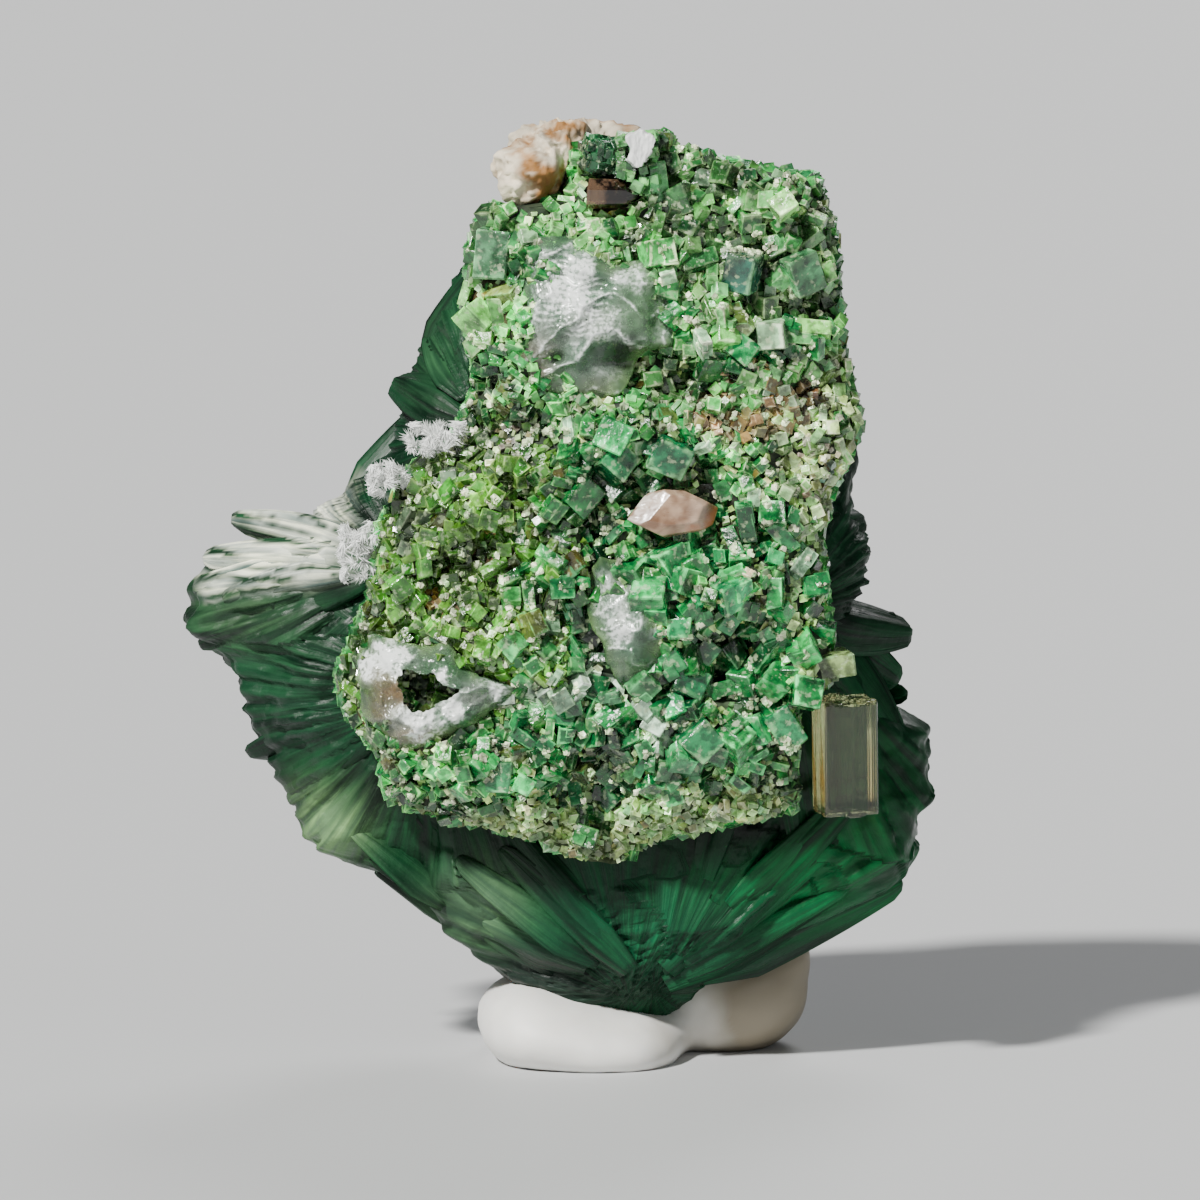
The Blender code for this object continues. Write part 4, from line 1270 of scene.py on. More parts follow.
    def growths(self, template: Surface, row: Array, turn: Array, count: int,
                colours: tuple[Colour, Colour]) -> Surface:
        """Small boxes that cover a block, each at a place on one of its faces.

        Args:
            template: the box to copy.
            row: the block's centre and edge lengths in millimetres.
            turn: the block's rotation matrix.
            count: number of boxes.
            colours: the darkest and the lightest core.

        Returns:
            Their surface.
        """
        pick = np.random.default_rng(40)
        local = pick.uniform(-0.5, 0.5, (count, 3))
        local[np.arange(count), pick.integers(0, 3, count)] = pick.choice([-0.5, 0.5], count)
        centre = row[:3] * MM + (local * row[3:6] * MM) @ turn.T
        size = pick.uniform(0.2, 0.42, (count, 1)) * MM * pick.uniform(0.8, 1.2, (count, 3))
        turns = turn @ turn_matrices(pick.normal(0, 0.25, (count, 3)))
        core = mix_colours(*colours, pick.uniform(0, 1, count))
        return place_boxes(template, centre, size, turns, core, core * 0.6 + np.array((0.03, 0.09, 0.04)))

    def build(self) -> None:
        """Make the ground and the crystals and dress them."""
        finish_piece("crust_ground", self.ground(), GroundFinish("crust_ground").make(),
                     ["crystal_crust"])
        coarse, fine = self.crystals()
        glassy = CrystalFinish("green_crystal").make()
        finish_piece("crust_crystals", coarse, glassy, smooth=False)
        dusty = CrystalFinish("green_grain", 0.3, 0.0, dust=0.25).make()
        finish_piece("crust_grains", fine, dusty, smooth=False)


# The dark rock


@dataclass
class BladedRock:
    """The dark rock behind the slab: a fibrous body and the blades that lie on it."""

    columns: int = 330
    rows: int = 270
    small_blades: int = 210
    seed: int = 12

    def section(self, theta: Array, z: Array) -> tuple[Array, Array]:
        """Smooth section of the rock: a squared oval between the four outlines.

        Args:
            theta: turn round the section, the front being the lower half turn.
            z: heights.

        Returns:
            x and y of the section with the coarse bumps of the solid.
        """
        left, right = outline(ROCK_LEFT, z), outline(ROCK_RIGHT, z)
        front, back = outline(ROCK_FRONT, z), outline(ROCK_BACK, z)
        cosine, sine = np.cos(theta), np.sin(theta)
        x = (left + right) / 2 + (right - left) / 2 * np.sign(cosine) * np.abs(cosine) ** ROCK_SQUARENESS
        reach = np.where(sine < 0, front - MIDDLE_Y, back - MIDDLE_Y)
        wing = 1.0 - 0.45 * np.clip((np.abs(x) - 9.0 * MM) / (8.0 * MM), 0.0, 1.0)
        y = MIDDLE_Y + reach * wing * np.abs(sine) ** ROCK_SQUARENESS
        bump = 0.65 * MM * ripples(x, y, z, 4.6 * MM, 5)
        return x + bump * cosine, np.maximum(y + bump * sine, ROCK_FACE_Y)

    def hubs(self) -> Array:
        """Middles of the sheaves as rows of (x, y, z).

        Returns:
            Places in metres.
        """
        rows = [(x, self.depth(side, np.array(x * MM), np.array(z * MM)) / MM, z)
                for side, x, z, *_ in SHEAVES]
        return np.array(rows, dtype=float) * MM

    def depth(self, side: int, x: Array, z: Array) -> Array:
        """Depth of the rock's smooth face at (x, z), on the front (-1) or the back (1).

        Args:
            side: -1 or 1.
            x, z: places.

        Returns:
            The y of the face.
        """
        left, right = outline(ROCK_LEFT, z), outline(ROCK_RIGHT, z)
        across = np.minimum(np.abs(x - (left + right) / 2) / ((right - left) / 2), 1.0)
        cosine = across ** (1 / ROCK_SQUARENESS)
        sine = np.sqrt(1.0 - cosine ** 2) ** ROCK_SQUARENESS
        reach = outline(ROCK_FRONT if side < 0 else ROCK_BACK, z) - MIDDLE_Y
        wing = 1.0 - 0.45 * np.clip((np.abs(x) - 9.0 * MM) / (8.0 * MM), 0.0, 1.0)
        return MIDDLE_Y + reach * wing * sine

    def fibre_frame(self, points: Array) -> tuple[Array, Array, Array]:
        """For each place, its nearest sheaf, its direction from that hub, and its distance.

        Args:
            points: places, shape (..., 3).

        Returns:
            Sheaf numbers, angles in the upright plane, and distances in metres.
        """
        hubs = self.hubs()
        away = points[..., None, :] - hubs
        warp = lattice_noise(points, 4.0 * MM, 81, 2)[..., None] * 1.6 * MM
        gap = np.sqrt((away[..., 0]) ** 2 + (1.6 * away[..., 1]) ** 2 + away[..., 2] ** 2)
        nearest = np.argmin(gap + warp * np.sin(np.arange(len(hubs)) * 2.4), axis=-1)
        chosen = np.take_along_axis(away, nearest[..., None, None], axis=-2)[..., 0, :]
        return nearest, np.arctan2(chosen[..., 2], chosen[..., 0]), np.linalg.norm(chosen, axis=-1)

    def body(self) -> Surface:
        """The rock's body: sections stacked by height, raised into ridges that fan from the hubs.

        Returns:
            The closed body with its fibre UVs and colours.
        """
        share = np.linspace(0.0, 1.0, self.rows)
        low, high = ROCK_LEFT[0][0] * MM, ROCK_LEFT[-1][0] * MM
        z = np.repeat((low + (high - low) * share)[:, None], self.columns, axis=1)
        theta = np.tile(np.linspace(0, math.tau, self.columns, endpoint=False), (self.rows, 1))
        x, y = self.section(theta, z)
        points = np.stack([x, y, z], -1)
        inward = 0.6 * np.clip((share - 0.9) / 0.1, 0.0, 1.0)[:, None] ** 2.5
        points[..., 0] += (points[..., 0].mean(axis=1, keepdims=True) - points[..., 0]) * inward
        points[..., 1] += (MIDDLE_Y - points[..., 1]) * inward * (points[..., 1] > MIDDLE_Y)
        sheaf, angle, reach = self.fibre_frame(points)
        phase = sheaf * 1.7
        ridge = np.abs(np.sin(angle * 9.0 + phase + 0.6 * np.sin(reach / (1.3 * MM)))) - 0.5
        ridge += 0.6 * (np.abs(np.sin(angle * 23.0 + 2.1 * phase + reach / (2.2 * MM))) - 0.5)
        ridge += 0.35 * np.sin(angle * 61.0 + 3.7 * phase)
        step = (reach / (2.4 * MM) + 0.8 * lattice_noise(points, 2.0 * MM, 82, 2)) % 1.0
        lift = 0.24 * MM * ridge + 0.12 * MM * (0.5 - step) + 0.3 * MM * lattice_noise(points, 1.8 * MM, 83)
        lift *= np.clip(np.minimum(share, 1 - share) * 12, 0, 1)[:, None]
        ahead = np.where(y < ROCK_FACE_Y + 0.05 * MM, 0.0, 1.0)
        points[..., 0] += lift * np.cos(theta)
        points[..., 1] += lift * np.sin(theta) * ahead
        surface = tube_surface(points)
        surface.uv = self.fibre_uv(surface)
        surface.colours["tone"] = self.tone(surface.points)
        return surface

    def fibre_uv(self, surface: Surface) -> Array:
        """UVs with u across the fibres (five times the angle) and v along them, in millimetres.

        Args:
            surface: the rock's body.

        Returns:
            A UV for each corner.
        """
        corners = surface.points[surface.corners()]
        sheaf, angle, reach = self.fibre_frame(corners)
        return np.stack([angle * 5.0 + sheaf * 3.7, reach / MM], -1)

    def tone(self, points: Array) -> Array:
        """Colours of the rock by place: nearly black, brighter in the lobes, with a painted shadow under the
        slab's lower right edge and white streaks on the wing's top that are partly frost and partly painted
        highlight.

        Args:
            points: places on the rock.

        Returns:
            A colour for each.
        """
        x, z = points[..., 0] / MM, points[..., 2] / MM
        cloud = lattice_noise(points, 3.0 * MM, 84)
        tone = mix_colours((0.0008, 0.012, 0.005), (0.002, 0.042, 0.015), cloud * 0.8 + 0.5)
        spots = [((0.002, 0.15, 0.045), 9.4, 8.6, 5.0, 3.0), ((0.002, 0.075, 0.03), 1.6, 5.4, 4.6, 2.6),
                 ((0.001, 0.055, 0.018), 11.0, 15.0, 2.6, 3.0), ((0.004, 0.045, 0.018), 10.0, 21.2, 2.2, 2.6),
                 ((0.14, 0.26, 0.12), -11.2, 10.0, 1.5, 1.5), ((0.07, 0.15, 0.08), -5.0, 6.6, 1.8, 1.8),
                 # Painted shadow: the nearly black band under the slab's lower right edge.
                 ((0.0004, 0.003, 0.0015), 5.6, 10.0, 4.2, 1.3),
                 ((0.008, 0.02, 0.014), -2.6, 3.4, 3.4, 1.6), ((0.012, 0.05, 0.022), -6.6, 29.0, 1.6, 2.4),
                 ((0.03, 0.07, 0.035), -14.4, 18.6, 2.4, 1.8), ((0.006, 0.04, 0.018), -12.6, 15.4, 2.6, 2.4)]
        tone = spotted(tone, x, z, spots)
        sheaf, angle, reach = self.fibre_frame(points)
        fibre = np.stack([angle * 7.0 * MM, reach * 0.06, sheaf * MM], -1)
        streak = lattice_noise(fibre, 0.3 * MM, 85)
        # White streaks on the wing's top: partly frost and partly painted highlight.
        frost_and_highlight = np.clip((z - 20.6 - 0.07 * x + 1.2 * cloud) / 1.1, 0, 1) * np.clip((-9.6 - x) / 1.6, 0, 1)
        frost_and_highlight = (frost_and_highlight * np.clip(streak * 2.2 + 0.6, 0, 1))[..., None]
        return tone * (1 - frost_and_highlight) + np.array((0.66, 0.70, 0.62)) * frost_and_highlight

    def blade_bodies(self, starts: Array, ends: Array, wide: Array, thick: Array, out: Array,
                     rows: int, columns: int) -> Surface:
        """Long blades with a roof-shaped section: they swell, then narrow to a blunt, bent tip.

        The half width at share s of the length is wide/2 times (1 - 0.6 s^2.5) times a swell
        that rises over the first quarter; the skin is grooved by sines round the section.

        Args:
            starts, ends: the two ends, shape (n, 3).
            wide, thick: section sizes, shape (n,).
            out: directions that the blade's back bends towards, shape (n, 3).
            rows, columns: points along each blade and round it.

        Returns:
            All blades as one surface.
        """
        count = len(starts)
        pick = np.random.default_rng(count)
        way = ends - starts
        length = np.linalg.norm(way, axis=-1)
        way = way / length[:, None]
        side = np.cross(way, out)
        side /= np.linalg.norm(side, axis=-1, keepdims=True) + 1e-12
        out = np.cross(side, way)
        share = np.concatenate([np.linspace(0, 0.94, rows - 2), [0.985, 1.0]])
        size = (1 - 0.6 * share ** 2.5) * (0.5 + 0.5 * np.clip(share / 0.25, 0, 1))
        size[-2:] *= (0.72, 0.3)
        turn = np.linspace(0, math.tau, columns, endpoint=False)
        phase = pick.uniform(0, math.tau, (count, 1, 1))
        groove = 1 + 0.06 * np.sin(5 * turn + phase) + 0.06 * np.sin(11 * turn + 2 * phase)
        flat = np.cos(turn)
        deep = np.sign(np.sin(turn)) * (1 - np.abs(np.cos(turn))) ** 0.75
        across = wide[:, None, None] / 2 * size[:, None] * flat * groove
        lift = thick[:, None, None] / 2 * size[:, None] * deep * groove
        bow = (pick.uniform(-0.05, 0.05, count) * length)[:, None, None]
        lift = lift + bow * np.sin(share * math.pi)[:, None]
        along = (length[:, None] * share)[..., None] * np.ones(columns)
        points = (starts[:, None, None] + way[:, None, None] * along[..., None]
                  + side[:, None, None] * across[..., None] + out[:, None, None] * lift[..., None])
        quads = grid_quads(rows, columns, wrap=True)
        cap = np.arange(columns)
        caps = np.stack([cap[::-1], cap + (rows - 1) * columns])
        shift = (np.arange(count) * rows * columns)[:, None, None]
        column = quads % columns
        at_seam = column.max(axis=1, keepdims=True) == columns - 1
        unrolled = np.where((column == 0) & at_seam, columns, column)
        u = unrolled / columns * 2 * wide[:, None, None] / MM + phase
        v = share[quads // columns] * length[:, None, None] / MM + 3 * phase
        cap_uv = np.repeat(np.concatenate([phase, 3 * phase], -1), 2 * columns, axis=1)
        points = points.reshape(-1, 3)
        faces = [(quads[None] + shift).reshape(-1, 4), (caps[None] + shift).reshape(-1, columns)]
        uv = np.concatenate([np.stack([u, v], -1).reshape(-1, 2), cap_uv.reshape(-1, 2)])
        return Surface(points, faces, uv, {"tone": self.tone(points)})

    def large_blades(self) -> Surface:
        """The blades of the solid, at the same places.

        Returns:
            Their surface.
        """
        pick = random.Random(21)
        starts, ends, wide, thick, outs = [], [], [], [], []
        for side, hub_x, hub_z, direction, spread, length, number in SHEAVES:
            for i in range(number):
                angle = math.radians(direction + spread * (2 * i / (number - 1) - 1) + pick.uniform(-4, 4))
                pair = []
                for reach in (length * pick.uniform(0.12, 0.3), length * pick.uniform(0.8, 1.05)):
                    x = (hub_x + reach * math.cos(angle)) * MM
                    z = (hub_z + reach * math.sin(angle)) * MM
                    y = float(self.depth(side, np.array(x), np.array(z)))
                    y = y + side * pick.uniform(-0.3, 0.35) * MM
                    pair.append((x, max(y, ROCK_FACE_Y) if z > 8.0 * MM else y, z))
                wide.append(pick.uniform(1.8, 2.6) * MM)
                thick.append(pick.uniform(1.0, 1.6) * MM)
                roll = pick.uniform(-0.7, 0.7)
                starts.append(pair[0])
                ends.append(pair[1])
                outs.append((math.sin(roll) * math.sin(angle), side * math.cos(roll),
                             -math.sin(roll) * math.cos(angle)))
        return self.blade_bodies(np.array(starts), np.array(ends), np.array(wide), np.array(thick),
                                 np.array(outs), 26, 28)

    def strewn_blades(self) -> Surface:
        """Small blades all over the rock, each along the fibres of its own sheaf.

        Returns:
            Their surface.
        """
        pick = np.random.default_rng(self.seed)
        count = self.small_blades
        theta = pick.uniform(0, math.tau, count)
        z = (pick.uniform(0.03, 0.97, count) * (ROCK_LEFT[-1][0] - ROCK_LEFT[0][0]) + ROCK_LEFT[0][0]) * MM
        x, y = self.section(theta, z)
        start = np.stack([x * 0.97, y, z], -1)
        _, angle, _ = self.fibre_frame(start)
        angle = angle + pick.normal(0, 0.14, count)
        length = pick.uniform(4.5, 10.0, count) * MM
        end_x = x + length * np.cos(angle)
        end_z = np.clip(z + length * np.sin(angle), 1.4 * MM, 36.2 * MM)
        side = np.where(np.sin(theta) < 0, -1, 1)
        left, right = outline(ROCK_LEFT, end_z), outline(ROCK_RIGHT, end_z)
        end_x = np.clip(end_x, left + 0.6 * MM, right - 0.6 * MM)
        depth = np.where(side < 0, self.depth(-1, end_x, end_z), self.depth(1, end_x, end_z))
        end = np.stack([end_x, depth - side * pick.uniform(0.0, 0.3, count) * MM, end_z], -1)
        keep = (np.linalg.norm(end - start, axis=-1) > 3.0 * MM) & (x > -10.5 * MM)
        end[:, 1] = np.where(end_z > 9.0 * MM, np.maximum(end[:, 1], ROCK_FACE_Y + 0.1 * MM), end[:, 1])
        start[:, 1] = np.where(z > 9.0 * MM, np.maximum(start[:, 1], ROCK_FACE_Y + 0.1 * MM), start[:, 1])
        out = np.stack([np.cos(theta) * 0.7 + pick.normal(0, 0.4, count), side * 1.0 + 0 * theta,
                        pick.normal(0, 0.4, count)], -1)
        return self.blade_bodies(start[keep], end[keep], pick.uniform(0.6, 1.9, count)[keep] * MM,
                                 pick.uniform(0.2, 0.5, count)[keep] * MM, out[keep], 10, 16)

    def build(self) -> None:
        """Make the body and the blades and dress them."""
        silk = SilkFinish("dark_silk").make()
        finish_piece("rock_body", self.body(), silk, ["bladed_matrix"])
        blades = join_surfaces([self.large_blades(), self.strewn_blades()])
        finish_piece("rock_blades", blades, silk)


# Clear films


@dataclass
class ClearFilm:
    """A thin wrinkled film over the crystals, drawn as rings of its outline."""

    name: str
    points: Sequence[tuple[float, float]]
    crease: float
    seed: int
    glare_patch: tuple[float, float, float, float]
    stains: Sequence[tuple[Colour, float, float, float, float]]
    hole: float = 0.0
    tone: Colour = (0.20, 0.36, 0.24)
    fade: float = 0.3
    waves: float = 1.0
    crust: float = 0.0
    fray: float = 0.045
    hollows: Sequence[tuple[float, ...]] = ()
    rows: int = 66
    columns: int = 160
    lift: float = 0.66
    thickness: float = 0.1

    def rim(self) -> Array:
        """The outline rounded through its corners by cubic pieces, then frayed by noise.

        Returns:
            Places (x, z) of the rim.
        """
        corners = np.array(self.points) * MM
        middle = corners.mean(axis=0)
        turn = np.linspace(0, len(corners), self.columns, endpoint=False)
        whole, part = turn.astype(int), (turn % 1.0)[:, None]
        near = [corners[(whole + k) % len(corners)] for k in (-1, 0, 1, 2)]
        edge = 0.5 * (2 * near[1] + (near[2] - near[0]) * part
                      + (2 * near[0] - 5 * near[1] + 4 * near[2] - near[3]) * part ** 2
                      + (3 * near[1] - near[0] - 3 * near[2] + near[3]) * part ** 3)
        place = np.stack([edge[:, 0], edge[:, 1], 0 * edge[:, 0]], -1)
        fray = 1 + self.fray * lattice_noise(place, 1.0 * MM, self.seed, 4)
        return middle + (edge - middle) * fray[:, None]

    def surface(self) -> Surface:
        """Rings of the rim drawn in to the middle, wrinkled, with a wall's thickness.

        The height is the slab's face, plus a fixed lift, plus ridged waves: one minus the
        absolute value of a sine whose phase is bent by noise, so the crests are thin lines.

        Returns:
            The closed film.
        """
        edge = self.rim()
        middle = np.array(self.points).mean(axis=0) * MM
        share = np.linspace(1.0, max(self.hole, 0.01), self.rows)[:, None, None]
        round_edge = np.stack([edge[:, 0], edge[:, 1], 0 * edge[:, 0]], -1)
        tear = (0.18 if self.hole else 0.0) * lattice_noise(round_edge, 0.7 * MM, self.seed + 4)
        ragged = 1 + tear[None, :, None] * (1 - share)
        flat = middle + (edge - middle)[None] * share * ragged
        x, z = flat[..., 0], flat[..., 1]
        place = np.stack([x, np.zeros_like(x), z], -1)
        bend = lattice_noise(place, 2.2 * MM, self.seed + 1, 3)
        fold = 1 - np.abs(np.sin((z - 0.7 * x) / (0.62 * MM) + 3.0 * bend))
        fine = 1 - np.abs(np.sin(z / (0.08 * MM) + 3.6 * lattice_noise(place, 0.9 * MM, self.seed + 2, 2)))
        # Painted highlight: the glare patch, an oval where the film is painted white and finely wrinkled.
        glare_patch = bell(x / MM, z / MM, self.glare_patch)
        rim = np.clip((1 - share[..., 0]) / self.fade, 0, 1) ** 0.8 * np.ones_like(x)
        hollow = np.zeros_like(x)
        for *oval, deep in self.hollows:
            hollow += deep * MM * bell(x / MM, z / MM, oval)
        lumps = lattice_noise(place, 0.75 * MM, self.seed + 6, 2)
        height = MM * self.crease * (0.7 * fold ** 2 + 1.1 * bend + 0.35 * self.waves * glare_patch * fine)
        height = height + MM * (0.16 * lumps + self.crust * lattice_noise(place, 0.22 * MM, self.seed + 7, 3))
        base = np.minimum(slab_front(x, z, ()), SEAM_Y - 1.0 * MM)
        y = base - (0.1 + (self.lift - 0.1) * rim) * MM - height * (0.3 + 0.7 * rim) + hollow
        wall = self.thickness * MM * (0.3 + 0.7 * rim)
        cloud = lattice_noise(place, 0.8 * MM, self.seed + 3)
        # milk: partly milky clouding (cloud and crust) and partly painted highlight on the glare patch and
        # the fold crests.
        milk = 0.06 + glare_patch * (0.6 + 0.7 * self.waves * fine ** 2) + 0.5 * fold ** 6 + 0.35 * cloud
        milk = (milk + 0.5 * self.crust / 0.06 * np.clip(cloud + 0.1, 0, 1)) * (0.35 + 0.65 * rim)
        rows = np.concatenate([np.stack([x, y, z], -1), np.stack([x, y + wall, z], -1)[::-1]])
        milk = np.concatenate([milk, milk[::-1]]).reshape(-1)
        points = rows.reshape(-1, 3)
        ring = grid_quads(len(rows), self.columns, wrap=True)
        seam = grid_quads(2, self.columns, wrap=True)
        seam = np.where(seam < self.columns, seam + (len(rows) - 1) * self.columns, seam - self.columns)
        faces = np.concatenate([ring, seam])
        uv = points[faces.ravel()][:, [0, 2]] / (10 * MM)
        inner = np.concatenate([rim, rim[::-1]]).reshape(-1, 1)
        green = mix_colours((0.03, 0.14, 0.04), (0.30, 0.50, 0.20), lattice_noise(points, 0.5 * MM, 60) + 0.5)
        tone = self.tones(points) * inner + green * (1 - inner)
        colours = {"tone": tone, "milk": np.repeat(np.clip(milk, 0, 1)[:, None], 3, axis=1)}
        return Surface(points, [faces], uv, colours).flipped()

    def tones(self, points: Array) -> Array:
        """Colours of the film's body: green and grey clouds, with stains by place, some of which are painted
        shade.

        Args:
            points: the film's points.

        Returns:
            A colour for each.
        """
        cloud = lattice_noise(points, 1.0 * MM, self.seed + 5)
        tone = mix_colours(self.tone, (0.48, 0.56, 0.48), cloud * 0.9 + 0.45)
        x, z = points[:, 0] / MM, points[:, 2] / MM
        return spotted(tone, x, z, self.stains, 1.1 + 0.5 * cloud)

    def build(self) -> None:
        """Make the film and dress it."""
        finish_piece(self.name + "_skin", self.surface(), FilmFinish(self.name).make(),
                     [self.name])


FILMS = [
    ClearFilm("upper_film", UPPER_FILM, 0.20, 61, (-1.3, 32.0, 1.7, 1.5),
              [((0.26, 0.44, 0.26), 1.6, 31.6, 1.3, 1.7), ((0.34, 0.31, 0.22), -3.0, 29.0, 1.2, 1.2),
               # The dark spots at (1.0, 29.6) and (-1.7, 29.5) are painted shade over the film's hollows.
               ((0.05, 0.09, 0.06), 1.0, 29.6, 0.9, 0.8), ((0.30, 0.28, 0.22), 0.0, 27.9, 1.6, 0.7),
               ((0.01, 0.03, 0.02), -1.7, 29.5, 0.22, 0.2)],
              hollows=[(1.0, 29.2, 1.1, 0.7, 0.8), (-1.7, 29.5, 0.25, 0.22, 0.4),
                       (2.2, 31.2, 0.5, 1.0, 0.3)]),
    ClearFilm("middle_film", MIDDLE_FILM, 0.14, 62, (0.7, 19.6, 0.8, 1.6),
              [((0.06, 0.20, 0.09), 2.0, 17.6, 0.7, 0.8)],
              fade=0.6, waves=0.0, crust=0.03, fray=0.16, lift=0.6),
    ClearFilm("lower_film", LOWER_FILM, 0.16, 63, (-8.6, 17.2, 0.9, 0.9),
              [((0.40, 0.28, 0.16), -8.2, 16.2, 1.0, 0.6), ((0.50, 0.42, 0.30), -7.2, 14.1, 2.2, 0.5),
               ((0.14, 0.30, 0.16), -6.4, 16.9, 1.2, 0.8), ((0.46, 0.34, 0.22), -9.2, 15.0, 0.6, 1.4)],
              hole=0.36, fade=0.3, waves=0.0, crust=0.07, fray=0.13, lift=0.56),
]


# Crystals and lumps of one piece


def cut_stone(centre: Sequence[float], radii: Sequence[float], planes: Array, depths: Array,
              rows: int = 70, columns: int = 100) -> Surface:
    """A stone bounded by flat faces: along each direction, the nearest of the cut planes.

    Args:
        centre: middle in millimetres.
        radii: stretch along x, y and z in millimetres.
        planes: outward directions of the cuts, shape (n, 3).
        depths: distance of each cut from the middle, in radii.
        rows, columns: points from pole to pole and round.

    Returns:
        The closed stone.
    """
    way = round_directions(rows, columns)
    planes = planes / np.linalg.norm(planes, axis=-1, keepdims=True)
    facing = np.maximum(way @ planes.T, 1e-4)
    reach = (depths / facing).min(axis=-1)
    points = np.array(centre) * MM + way * reach[..., None] * np.array(radii) * MM
    return tube_surface(points)


@dataclass
class Lump:
    """A soft or stony lump: the skin where a blend of balls reaches a set level."""

    balls: Sequence[tuple[float, ...]]
    centre: tuple[float, float, float]
    blend: float
    relief: Callable[[Array], Array]
    rows: int = 110
    columns: int = 190

    def field(self, points: Array) -> Array:
        """Smooth least distance to the balls, each (x, y, z, rx, ry, rz) in millimetres.

        Args:
            points: places in metres.

        Returns:
            Distances, below 0 inside.
        """
        parts = []
        for x, y, z, rx, ry, rz in self.balls:
            scaled = (points / MM - (x, y, z)) / (rx, ry, rz)
            parts.append((np.linalg.norm(scaled, axis=-1) - 1.0) * min(rx, ry, rz))
        parts = np.stack(parts)
        return -np.log(np.exp(-parts / self.blend).sum(axis=0)) * self.blend

    def surface(self) -> Surface:
        """Along each direction from the middle, the outermost skin, found by halving steps.

        Returns:
            The closed lump.
        """
        way = round_directions(self.rows, self.columns)
        middle = np.array(self.centre) * MM
        near, far = np.zeros(way.shape[:2]), np.full(way.shape[:2], 12.0 * MM)
        for _ in range(26):
            half = (near + far) / 2
            outside = self.field(middle + way * half[..., None]) > 0
            far, near = np.where(outside, half, far), np.where(outside, near, half)
        points = middle + way * far[..., None]
        points = points + way * self.relief(points)[..., None]
        return tube_surface(points)


